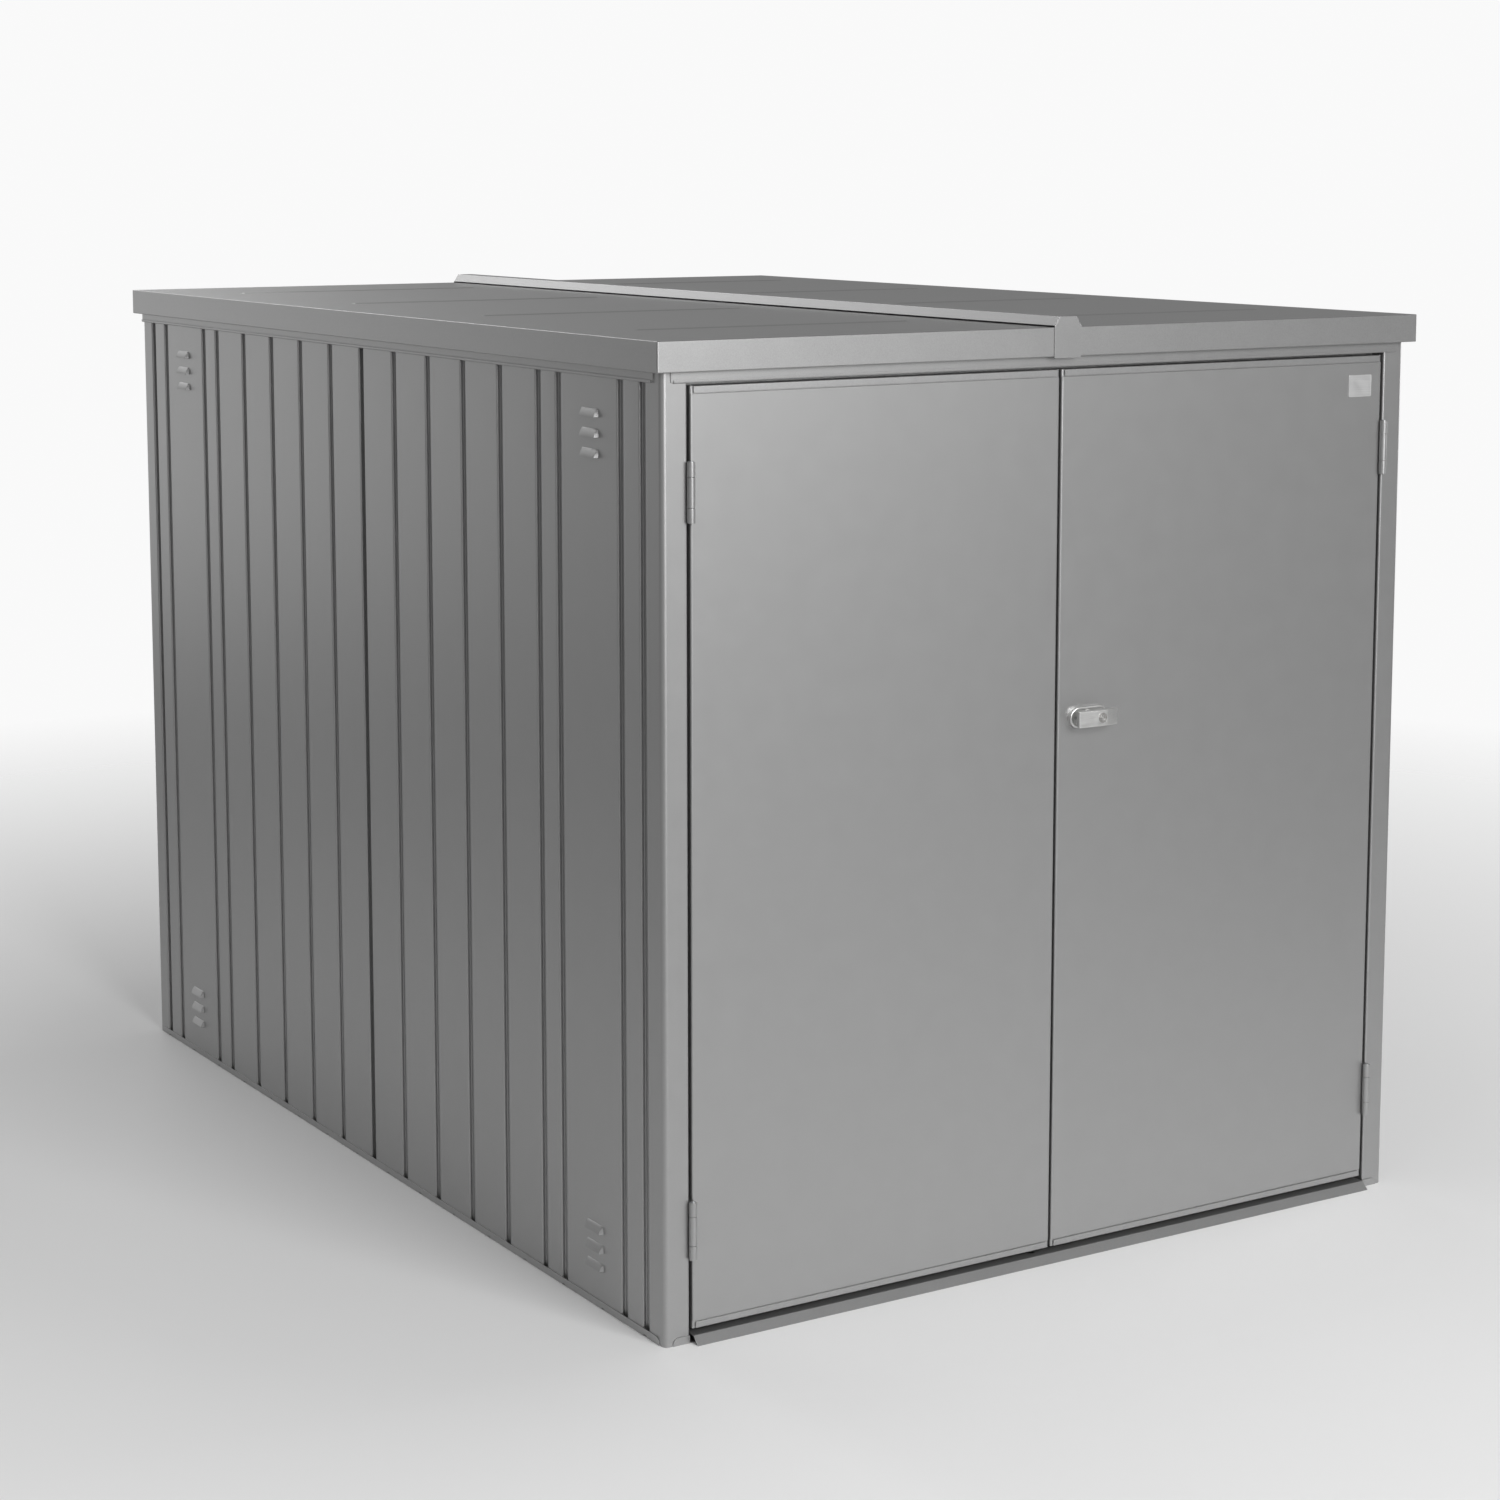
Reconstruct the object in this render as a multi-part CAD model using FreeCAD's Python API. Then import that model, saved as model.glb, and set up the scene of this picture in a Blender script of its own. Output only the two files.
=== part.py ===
"""Bicycle locker: a sheet-steel cabinet with two doors, profiled walls and a flat roof with a ridge cap.

Millimetres. X runs to the right seen from the doors, Y to the back, Z up. The origin is on the ground
at the centre of the four anchor holes in the base frame, so the doors face -Y.
"""
import FreeCAD, Part
import math
import os

Vector = FreeCAD.Vector

# Overall sizes
BODY_WIDTH = 1420.0
BODY_DEPTH = 2000.0
ROOF_TOP = 1482.5
ROOF_OVERHANG = 15.0

# Sheet and bends
SKIN_SHEET = 1.0
FRAME_SHEET = 1.5
BEND = 1.5
TIGHT_BEND = 0.6
CORNER_RADIUS = 8.0

# Roof
SKIRT_HEIGHT = 45.0
SKIRT_RETURN = 8.0
ROOF_JOINT = 2.0
ROOF_UPSTAND = 14.5
RIDGE_WIDTH = 51.0
RIDGE_TOP_WIDTH = 31.0
RIDGE_RISE = 16.5
RIDGE_LIFT = 1.0
RIDGE_PLATE_DROP = 2.5
STIFFENER_ROWS = 4
STIFFENER_WIDTH = 36.0
STIFFENER_DEPTH = 12.0
STIFFENER_START = 110.0
STIFFENER_EAVE_GAP = 115.0
BEAM_WIDTH = 60.0
BEAM_HEIGHT = 40.0
BEAM_WALL = 2.0

# Top rails
RAIL_DROP = 61.5
RAIL_END_GAP = 15.0
SIDE_RAIL_FRONT_GAP = 21.0
RAIL_LIP = 4.5
RAIL_FLANGE = 39.5
RAIL_INNER = 26.0
HEADER_STOP = 17.0

# Base rails
BASE_LIP = 12.0
BASE_FLANGE = 41.5
BASE_UPSTAND = 25.0
BASE_FRONT_MARGIN = 12.0
BASE_END_GAP = 14.0
BASE_END_RADIUS = 9.0
NOTCH_WIDTH = 9.0
NOTCH_HEIGHT = 3.5
ANCHOR_HOLE_RADIUS = 5.5
ANCHOR_INSET_X = 25.0
ANCHOR_INSET_Y = 200.0

# Corner posts and walls
POST_FACE = 42.8
JAMB_STOP_GAP = 1.5
HEADER_STOP_GAP = 0.5
JAMB_RETURN = 24.0
WALL_CORNER = 54.5
POST_OVERLAP = 39.0
GROOVE_WIDTH = 17.0
GROOVE_DEPTH = 6.2
STRIP_WIDTH = 64.0
VENT_PLANK = 187.5
SIDE_PLANKS = 5
BACK_PLANKS = 5
PANEL_FLANGE = 13.0
JOINT_STRIP_DEPTH = 10.0
JOINT_STRIP_LEG = 10.0
PANEL_SEAM = 0.5

# Vent hoods
HOOD_LENGTH = 60.0
HOOD_END_SLOPE = 10.0
HOOD_HEIGHT = 13.0
HOOD_PROUD = 7.0
HOOD_PITCH = 30.0
HOODS_PER_GROUP = 3
HOODS_UNDER_ROOF = 108.0
HOODS_OVER_GROUND = 131.5

# Threshold
THRESHOLD_NOSE = 18.3
THRESHOLD_HEIGHT = 12.4
THRESHOLD_RAMP = 12.8
THRESHOLD_COVER = 2.5
THRESHOLD_BACK_RAMP = 15.0
THRESHOLD_END_GAP = 3.7

# Doors
DOOR_SIDE_GAP = 5.2
DOOR_MEETING_GAP = 4.2
DOOR_TOP_GAP = 4.2
DOOR_BOTTOM = 20.5
DOOR_THICK = 25.0
DOOR_BEND = 2.0
DOOR_FLANGE = 18.0
CAP_LIP = 10.0
CAP_INSET = 5.0
CAP_FLANGE = 20.0
HATS_BELOW_LOCK = 2
HATS_ABOVE_LOCK = 1
HAT_LOCK_GAP = 5.0
HAT_WIDTH = 60.0
HAT_CROWN = 30.0
HAT_ROD_GAP = 3.0
HAT_END_GAP = 24.0

# Hinges
HINGE_LENGTH = 88.0
HINGE_UPPER_DROP = 217.5
HINGE_LOWER = 173.0
KNUCKLE_RADIUS = 6.0
PIN_RADIUS = 3.0
PIN_CLEARANCE = 0.05
PIN_HEAD_RADIUS = 4.2
PIN_HEAD_HEIGHT = 1.5
KNUCKLE_GAP = 0.5
LEAF_THICK = 2.0
LEAF_DEPTH = 20.0
LEAF_CLEAR = 0.6

# Handle, lock and rods
HANDLE_X = 58.0
HANDLE_Z = 872.5
PLATE_LENGTH = 73.0
PLATE_HEIGHT = 34.0
PLATE_THICK = 8.0
PLATE_ROUND = 2.5
BAR_LEFT = 34.0
BAR_RIGHT = 43.0
BAR_HEIGHT = 26.0
BAR_THICK = 8.0
BAR_ROUND = 1.5
BAR_STANDOFF = 13.0
NECK_RADIUS = 7.5
SPINDLE_RADIUS = 4.0
SHAFT_CLEARANCE = 0.05
SPINDLE_HOLE_CLEARANCE = 0.6
PLUG_RADIUS = 8.5
PLUG_OFFSET = 11.0
PLUG_DEPTH = 7.0
KEYWAY_WIDTH = 1.6
KEYWAY_LENGTH = 8.0
KEYWAY_DEPTH = 5.0
CAM_RADIUS = 20.0
CAM_THICK = 4.0
CAM_PIN_GAP = 1.5
CAM_PIN_OFFSET = 14.0
CAM_PIN_RADIUS = 3.0
CAM_PIN_LENGTH = 7.0
CAM_REST_ANGLE = 45.0
ROD_TRAVEL = 20.34
ROD_WIDTH = 19.0
ROD_THICK = 4.0
ROD_OFFSET = 12.0
ROD_BEHIND_CAM = 1.0
SLOT_CLEARANCE = 0.6
SLOT_END_CLEARANCE = 1.0
ROD_HEAD = 9.0
ROD_TIP_GAP = 3.0
LOWER_TIP_GAP = 4.0
CASE_WIDTH = 72.0
CASE_HEIGHT = 70.0
SCREW_RADIUS = 2.5
SCREW_SPACING = 52.0
SCREW_HEAD_RADIUS = 4.5
SCREW_HEAD_HEIGHT = 2.5
SCREW_GRIP = 7.0
GUIDE_WIDTH = 34.0
GUIDE_HEIGHT = 18.0
GUIDE_CLEARANCE = 0.4
GUIDE_WALL = 3.0
GUIDE_NEAR = 100.0
GUIDE_FAR = 40.0
ROD_HOLE_CLEARANCE = 1.0
KEEPER_WIDTH = 150.0
KEEPER_THICK = 3.0
KEEPER_LIFT = 1.5

# Slide bolts of the passive leaf
BOLT_X = 27.0
BOLT_COVER = 8.0
BOLT_RADIUS = 5.0
BOLT_LENGTH = 130.0
BOLT_CLEARANCE = 0.3
BOLT_TRAVEL = 20.0
BOLT_TIP_GAP = 4.5
BOLT_HOUSING_WIDTH = 26.0
BOLT_HOUSING_SETBACK = 3.0
BOLT_HOUSING_HEIGHT = 70.0
BOLT_HOUSING_GAP = 26.0
KNOB_RADIUS = 4.0
KNOB_LENGTH = 20.0
KNOB_CLEARANCE = 0.6
KNOB_FROM_TIP = 71.0

# Badge plate, bare
BADGE_WIDTH = 49.0
BADGE_HEIGHT = 36.0
BADGE_THICK = 1.0
BADGE_FROM_EDGE = 46.5
BADGE_FROM_TOP = 48.8

# Studs and nuts that join the side rails to the posts
STUD_RADIUS = 2.5
STUD_LENGTH = 9.0
STUD_HOLE_RADIUS = 3.0
NUT_RADIUS = 4.6
NUT_THICK = 4.0
STUD_FROM_FACE = 35.0
STUD_UPPER_DROP = 20.0
STUD_LOWER_RISE = 11.0

# Places worked out from the sizes above
side_x = BODY_WIDTH / 2
face_y = BODY_DEPTH / 2
roof_under = ROOF_TOP - SKIN_SHEET
rail_bottom = ROOF_TOP - RAIL_DROP
wall_bottom = FRAME_SHEET
wall_top = roof_under - FRAME_SHEET - BEND
jamb_x = side_x - POST_FACE
door_edge = jamb_x - DOOR_SIDE_GAP
door_meet = DOOR_MEETING_GAP / 2
door_top = rail_bottom - DOOR_TOP_GAP
door_skin_inner = -face_y + SKIN_SHEET
hinge_x = jamb_x - DOOR_SIDE_GAP / 2
hinge_y = -face_y - KNUCKLE_RADIUS
hinge_heights = (HINGE_LOWER, ROOF_TOP - HINGE_UPPER_DROP)
plank_pitch = (face_y - WALL_CORNER - 2 * STRIP_WIDTH - VENT_PLANK) / SIDE_PLANKS
jamb_depth = DOOR_THICK + JAMB_STOP_GAP + FRAME_SHEET
header_depth = DOOR_THICK + HEADER_STOP_GAP + FRAME_SHEET
door_back = -face_y + DOOR_THICK
case_back = door_back - SKIN_SHEET
cam_front = case_back - FRAME_SHEET - CAM_PIN_GAP - CAM_PIN_LENGTH - CAM_THICK
rod_front = cam_front + CAM_THICK + ROD_BEHIND_CAM
rod_middle = rod_front + ROD_THICK / 2
housing_back = door_back - BOLT_HOUSING_SETBACK
bolt_y = housing_back - BOLT_COVER
threshold_top_back = door_back + THRESHOLD_COVER
threshold_foot = threshold_top_back + THRESHOLD_BACK_RAMP
stiffener_pitch = BODY_DEPTH / STIFFENER_ROWS
anchor_y = face_y - ANCHOR_INSET_Y


def spot(plane, a, b, c):
    """Point at a, b in the plane's own axes and c along its normal axis."""
    if plane == "XY":
        return Vector(a, b, c)
    if plane == "XZ":
        return Vector(a, c, b)
    return Vector(c, a, b)


def along(plane, length):
    """Vector of this length along the plane's normal axis."""
    return spot(plane, 0, 0, length)


def outline(points, radii, plane, level):
    """Closed wire through the points, with the corner at each point rounded by its radius."""
    count = len(points)
    corners = []
    for i in range(count):
        here = Vector(points[i][0], points[i][1], 0)
        before = Vector(points[i - 1][0], points[i - 1][1], 0)
        after = Vector(points[(i + 1) % count][0], points[(i + 1) % count][1], 0)
        radius = radii[i]
        if radius <= 0:
            corners.append((here, None, here))
            continue
        back = (before - here).normalize()
        ahead = (after - here).normalize()
        half = back.getAngle(ahead) / 2
        reach = radius / math.tan(half)
        middle = (back + ahead).normalize()
        crown = here + middle * (radius / math.sin(half) - radius)
        corners.append((here + back * reach, crown, here + ahead * reach))
    edges = []
    for i in range(count):
        start, crown, end = corners[i]
        if crown is not None:
            arc = Part.Arc(*[spot(plane, p.x, p.y, level) for p in (start, crown, end)])
            edges.append(arc.toShape())
        leave = spot(plane, end.x, end.y, level)
        arrive_flat = corners[(i + 1) % count][0]
        arrive = spot(plane, arrive_flat.x, arrive_flat.y, level)
        if (arrive - leave).Length > 1e-6:
            edges.append(Part.makeLine(leave, arrive))
    return Part.Wire(edges)


def prism(points, plane, start, end, radii=None):
    """Solid with the outline of the points, from start to end along the plane's normal axis."""
    if radii is None:
        radii = [0] * len(points)
    face = Part.Face(outline(points, radii, plane, start))
    return face.extrude(along(plane, end - start))


def folded(points, thickness, plane, start, end, bends=None, bend=BEND):
    """Folded sheet. The points are its outer face, the sheet lies to the right of the way they run.

    bends gives the outer radius at single points where it isn't the usual bend.
    """
    bends = bends or {}
    count = len(points)
    inner = []
    turns = []
    for i in range(count):
        here = Vector(points[i][0], points[i][1], 0)
        ways = []
        if i > 0:
            ways.append((here - Vector(points[i - 1][0], points[i - 1][1], 0)).normalize())
        if i < count - 1:
            ways.append((Vector(points[i + 1][0], points[i + 1][1], 0) - here).normalize())
        rights = [Vector(way.y, -way.x, 0) for way in ways]
        if len(ways) == 1:
            inner.append(here + rights[0] * thickness)
            turns.append(0)
            continue
        middle = (rights[0] + rights[1]).normalize()
        inner.append(here + middle * (thickness / middle.dot(rights[0])))
        turns.append(ways[0].cross(ways[1]).z)
    outer_radii = []
    inner_radii = []
    for i, turn in enumerate(turns):
        if turn == 0:
            outer_radii.append(0)
            inner_radii.append(0)
        elif turn < 0:
            outer = bends.get(i, bend + thickness)
            outer_radii.append(outer)
            inner_radii.append(outer - thickness)
        else:
            outer = bends.get(i, bend)
            outer_radii.append(outer)
            inner_radii.append(outer + thickness)
    ring = list(points) + [(p.x, p.y) for p in reversed(inner)]
    return prism(ring, plane, start, end, outer_radii + inner_radii[::-1])


def box(x, y, z):
    """Box between the two values given for each axis, in either order."""
    low = [min(pair) for pair in (x, y, z)]
    size = [abs(pair[1] - pair[0]) for pair in (x, y, z)]
    return Part.makeBox(*size, Vector(*low))


def rod(radius, start, end):
    """Round bar between two points."""
    way = end - start
    return Part.makeCylinder(radius, way.Length, start, way)


def mirror_x(shape):
    """The shape on the other side of the plane through the doors' meeting gap."""
    return shape.mirror(Vector(0, 0, 0), Vector(1, 0, 0))


def mirror_y(shape):
    """The shape swapped from front to back."""
    return shape.mirror(Vector(0, 0, 0), Vector(0, 1, 0))


def save(node, *shapes):
    """Write the solids of one node to its file."""
    solids = [solid for shape in shapes for solid in shape.Solids]
    for solid in solids:
        if not solid.isValid() or solid.Volume <= 0:
            raise ValueError("bad solid in " + node)
    whole = solids[0] if len(solids) == 1 else Part.makeCompound(solids)
    whole.exportStep("parts/" + node + ".step")


def side_grooves():
    """Centres of the grooves of the front half of a side wall, from the post to the middle joint."""
    places = [-(face_y - WALL_CORNER)]
    places.append(places[-1] + STRIP_WIDTH)
    places.append(places[-1] + VENT_PLANK)
    places.append(places[-1] + STRIP_WIDTH)
    for _ in range(SIDE_PLANKS - 1):
        places.append(places[-1] + plank_pitch)
    return places


def back_grooves():
    """Centres of the grooves of the left half of the back wall, from the post to the middle joint."""
    first = -(side_x - WALL_CORNER)
    return [first * (1 - i / BACK_PLANKS) for i in range(BACK_PLANKS)]


def panel_path(grooves):
    """Outer face of a wall panel as (place, depth) pairs, from its lap on the post to the middle joint.

    The first groove is the one beside the post, so the panel starts in its floor.
    """
    half = GROOVE_WIDTH / 2
    path = [(grooves[0] - half + PANEL_SEAM, GROOVE_DEPTH)]
    for centre in grooves:
        if centre != grooves[0]:
            path += [(centre - half, 0), (centre - half, GROOVE_DEPTH)]
        path += [(centre + half, GROOVE_DEPTH), (centre + half, 0)]
    return path + [(-half, 0), (-half, PANEL_FLANGE)]


def vent_hood(middle_y, bottom):
    """Solid and cavity of one pressed vent hood on the left wall: sloped ends, round on top, open below."""
    shapes = []
    for inset in (0, SKIN_SHEET):
        root = -side_x + SKIN_SHEET
        proud = -side_x - HOOD_PROUD + inset
        long_half = HOOD_LENGTH / 2 - inset
        short_half = long_half - HOOD_END_SLOPE
        points = [
            (root, middle_y - long_half),
            (-side_x, middle_y - long_half),
            (proud, middle_y - short_half),
            (proud, middle_y + short_half),
            (-side_x, middle_y + long_half),
            (root, middle_y + long_half),
        ]
        top = bottom + HOOD_HEIGHT - inset
        body = prism(points, "XY", bottom, top)
        crown = [e for e in body.Edges if e.BoundBox.ZMin > top - 1e-6 and e.BoundBox.XMax < -side_x + 1e-6]
        shapes.append(body.makeFillet(HOOD_PROUD / 2 - inset, crown))
    return shapes


def side_panel():
    """Front panel of the left wall."""
    grooves = side_grooves()
    path = [(-side_x + depth, place) for place, depth in panel_path(grooves)]
    panel = folded(path, SKIN_SHEET, "XY", wall_bottom, wall_top)
    middle = (grooves[1] + grooves[2]) / 2
    tops = [ROOF_TOP - HOODS_UNDER_ROOF, HOODS_OVER_GROUND]
    for top in tops:
        for i in range(HOODS_PER_GROUP):
            outside, inside = vent_hood(middle, top - HOOD_HEIGHT - i * HOOD_PITCH)
            panel = panel.fuse(outside).cut(inside)
    return panel.removeSplitter()


def back_panel():
    """Left panel of the back wall."""
    path = [(place, face_y - depth) for place, depth in panel_path(back_grooves())]
    return folded(path, SKIN_SHEET, "XY", wall_bottom, wall_top)


def joint_strip():
    """Channel that closes the groove between two wall panels, in place in the left wall."""
    floor = -side_x + JOINT_STRIP_DEPTH
    half = GROOVE_WIDTH / 2
    path = [(floor + JOINT_STRIP_LEG, -half), (floor, -half), (floor, half), (floor + JOINT_STRIP_LEG, half)]
    return folded(path, SKIN_SHEET, "XY", wall_bottom, wall_top, bend=TIGHT_BEND)


def front_post():
    """Front left corner post: a box-shaped jamb, a rounded corner and a flange behind the wall panel."""
    flange = -side_x + GROOVE_DEPTH + SKIN_SHEET
    step = -face_y + WALL_CORNER - GROOVE_WIDTH / 2
    back = -face_y + jamb_depth
    path = [
        (-jamb_x - JAMB_RETURN, back),
        (-jamb_x, back),
        (-jamb_x, -face_y),
        (-side_x, -face_y),
        (-side_x, step),
        (flange, step),
        (flange, step + POST_OVERLAP),
    ]
    post = folded(path, FRAME_SHEET, "XY", wall_bottom, wall_top, {3: CORNER_RADIUS, 5: PANEL_SEAM / 2})
    return post.cut(stud_bars("front", STUD_HOLE_RADIUS))


def back_post():
    """Back left corner post: a rounded corner with a flange behind each wall panel."""
    inset = GROOVE_DEPTH + SKIN_SHEET
    step = WALL_CORNER - GROOVE_WIDTH / 2
    path = [
        (-side_x + inset, face_y - step - POST_OVERLAP),
        (-side_x + inset, face_y - step),
        (-side_x, face_y - step),
        (-side_x, face_y),
        (-side_x + step, face_y),
        (-side_x + step, face_y - inset),
        (-side_x + step + POST_OVERLAP, face_y - inset),
    ]
    bends = {1: PANEL_SEAM / 2, 3: CORNER_RADIUS, 5: PANEL_SEAM / 2}
    post = folded(path, FRAME_SHEET, "XY", wall_bottom, wall_top, bends)
    return post.cut(stud_bars("back", STUD_HOLE_RADIUS))


def side_base_rail():
    """Left base rail: a lip outside the wall, a foot flange under it and an upstand inside."""
    outer = -side_x - FRAME_SHEET
    inner = outer + BASE_FLANGE
    path = [(inner, BASE_UPSTAND), (inner, 0), (outer, 0), (outer, BASE_LIP)]
    rail = folded(path, FRAME_SHEET, "XZ", -face_y, face_y, bend=0)
    lip_end = face_y - BASE_END_GAP
    upstand_end = face_y + FRAME_SHEET - BASE_FLANGE
    lip_x = (outer - 1, -side_x)
    for end in (-1, 1):
        rail = rail.cut(box(lip_x, (end * (face_y + 1), end * lip_end), (-1, BASE_LIP + 1)))
        upstand_y = (end * (face_y + 1), end * upstand_end)
        rail = rail.cut(box((-side_x + CORNER_RADIUS, inner + 1), upstand_y, (FRAME_SHEET, BASE_UPSTAND + 1)))
        centre_y = end * (lip_end - BASE_END_RADIUS)
        centre_z = BASE_LIP - BASE_END_RADIUS
        square = box(lip_x, (end * lip_end, centre_y), (centre_z, BASE_LIP + 1))
        corner = Vector(lip_x[0], centre_y, centre_z)
        rail = rail.cut(square.cut(rod(BASE_END_RADIUS, corner, Vector(lip_x[1], centre_y, centre_z))))
        foot_y = end * (face_y - CORNER_RADIUS)
        foot_x = -side_x + CORNER_RADIUS
        foot = box((-side_x, foot_x), (end * face_y, foot_y), (-1, FRAME_SHEET))
        under_post = rod(CORNER_RADIUS, Vector(foot_x, foot_y, -1), Vector(foot_x, foot_y, FRAME_SHEET))
        rail = rail.cut(foot.cut(under_post))
        place = Vector(-side_x + ANCHOR_INSET_X, end * anchor_y, -1)
        rail = rail.cut(rod(ANCHOR_HOLE_RADIUS, place, place + Vector(0, 0, 4)))
    half = NOTCH_WIDTH / 2
    notch_count = round((lip_end - BASE_END_RADIUS) / plank_pitch)
    for i in range(notch_count):
        for end in (-1, 1):
            middle = end * (i + 0.5) * plank_pitch
            rail = rail.cut(box(lip_x, (middle - half, middle + half), (-1, NOTCH_HEIGHT)))
    return rail


def lip_piece(start_x, end_x, level_y):
    """Part of a base rail's lip that stands outside a post, rounded at its outer top corner."""
    points = [(start_x, 0), (start_x, BASE_LIP), (end_x, BASE_LIP), (end_x, 0)]
    return prism(points, "XZ", level_y, level_y + FRAME_SHEET, [0, BASE_END_RADIUS, 0, 0])


def front_base_rail():
    """Front base rail: a flat plate between the side rails, with a short lip in front of each post."""
    half = side_x + FRAME_SHEET - BASE_FLANGE
    outer = -face_y - FRAME_SHEET
    plate = box((-half, half), (outer, threshold_foot + BASE_FRONT_MARGIN), (0, FRAME_SHEET))
    lip = lip_piece(-side_x + BASE_END_GAP, -jamb_x, outer)
    return plate.fuse([lip, mirror_x(lip)]).removeSplitter()


def back_base_rail():
    """Back base rail: a channel between the side rails, with its lip in front of both back posts."""
    half = side_x + FRAME_SHEET - BASE_FLANGE
    outer = face_y + FRAME_SHEET
    path = [(outer, BASE_LIP), (outer, 0), (outer - BASE_FLANGE, 0), (outer - BASE_FLANGE, BASE_UPSTAND)]
    channel = folded(path, FRAME_SHEET, "YZ", -half, half, bend=0)
    lip = lip_piece(-side_x + BASE_END_GAP, -half, face_y)
    return channel.fuse([lip, mirror_x(lip)]).removeSplitter()


def threshold():
    """Low folded ramp between the front posts, with holes for the lower bolts."""
    nose = -face_y - THRESHOLD_NOSE
    end_x = jamb_x - THRESHOLD_END_GAP
    path = [
        (nose, 0),
        (nose + THRESHOLD_RAMP, THRESHOLD_HEIGHT),
        (threshold_top_back, THRESHOLD_HEIGHT),
        (threshold_foot, FRAME_SHEET),
    ]
    ramp = folded(path, FRAME_SHEET, "YZ", -end_x, end_x, bend=TIGHT_BEND)
    ramp = ramp.cut(box((-end_x - 1, end_x + 1), (nose - 5, nose + 5), (-5, 0)))
    floor = box((-end_x - 1, end_x + 1), (threshold_top_back, threshold_foot + 5), (-5, FRAME_SHEET))
    ramp = ramp.cut(floor)
    return ramp.cut(bolt_holes("lower", 0, THRESHOLD_HEIGHT + 1))


def bolt_holes(which, low, high):
    """Holes for one locking rod and one slide bolt, as solids to cut between two heights."""
    rod_x = HANDLE_X + (ROD_OFFSET if which == "upper" else -ROD_OFFSET)
    half_x = ROD_WIDTH / 2 + ROD_HOLE_CLEARANCE
    half_y = ROD_THICK / 2 + ROD_HOLE_CLEARANCE
    slot = box((rod_x - half_x, rod_x + half_x), (rod_middle - half_y, rod_middle + half_y), (low, high))
    radius = BOLT_RADIUS + ROD_HOLE_CLEARANCE
    round_hole = rod(radius, Vector(-BOLT_X, bolt_y, low), Vector(-BOLT_X, bolt_y, high))
    return Part.makeCompound([slot, round_hole])


def side_top_rail():
    """Left top rail: a hemmed drip lip, a face outside the wall, a top flange and an inner flange."""
    face = -side_x - FRAME_SHEET
    top = roof_under
    inner = face + RAIL_FLANGE
    front = -face_y + SIDE_RAIL_FRONT_GAP
    path = [(face, rail_bottom), (face, top), (inner, top), (inner, top - RAIL_INNER)]
    rail = folded(path, FRAME_SHEET, "XZ", front, face_y)
    lip = box((face - FRAME_SHEET, face), (front + RAIL_LIP, face_y), (rail_bottom, rail_bottom + RAIL_LIP))
    rail = rail.fuse(lip)
    for end in (-1, 1):
        corner_y = (end * (face_y - jamb_depth), end * (face_y + 1))
        rail = rail.cut(box((-side_x, inner + 1), corner_y, (rail_bottom - 1, top + 1)))
    return rail.removeSplitter()


def cross_top_rail(inner_bottom):
    """Front top rail with its inner flange down to the given height."""
    face = -face_y - FRAME_SHEET
    inner = -face_y + header_depth
    end_x = side_x - RAIL_END_GAP
    path = [(face, rail_bottom), (face, roof_under), (inner, roof_under), (inner, inner_bottom)]
    rail = folded(path, FRAME_SHEET, "YZ", -end_x, end_x)
    lip_x = (-end_x + RAIL_LIP, end_x - RAIL_LIP)
    rail = rail.fuse(box(lip_x, (face - FRAME_SHEET, face), (rail_bottom, rail_bottom + RAIL_LIP)))
    for end in (-1, 1):
        behind_post = (end * (jamb_x - LEAF_THICK), end * side_x)
        rail = rail.cut(box(behind_post, (-face_y, inner + 1), (inner_bottom - 1, wall_top)))
    return rail.removeSplitter()


def header():
    """Rail over the doors. Its inner flange hangs behind the doors' top edge as their stop."""
    return cross_top_rail(door_top - HEADER_STOP)


def back_top_rail():
    """Rail over the back wall."""
    face = face_y + FRAME_SHEET
    inner = face_y - header_depth
    end_x = side_x - RAIL_END_GAP
    path = [(inner, roof_under - RAIL_INNER), (inner, roof_under), (face, roof_under), (face, rail_bottom)]
    rail = folded(path, FRAME_SHEET, "YZ", -end_x, end_x)
    lip_x = (-end_x + RAIL_LIP, end_x - RAIL_LIP)
    lip = box(lip_x, (face, face + FRAME_SHEET), (rail_bottom, rail_bottom + RAIL_LIP))
    return rail.fuse(lip).removeSplitter()


def keeper():
    """Plate inside the header with the holes that the upper bolts enter."""
    middle = (HANDLE_X + ROD_OFFSET - BOLT_X) / 2
    low = rail_bottom + KEEPER_LIFT
    half = KEEPER_WIDTH / 2
    depth = (-face_y, -face_y + header_depth - FRAME_SHEET)
    plate = box((middle - half, middle + half), depth, (low, low + KEEPER_THICK))
    return plate.cut(bolt_holes("upper", low - 1, low + KEEPER_THICK + 1))


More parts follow.
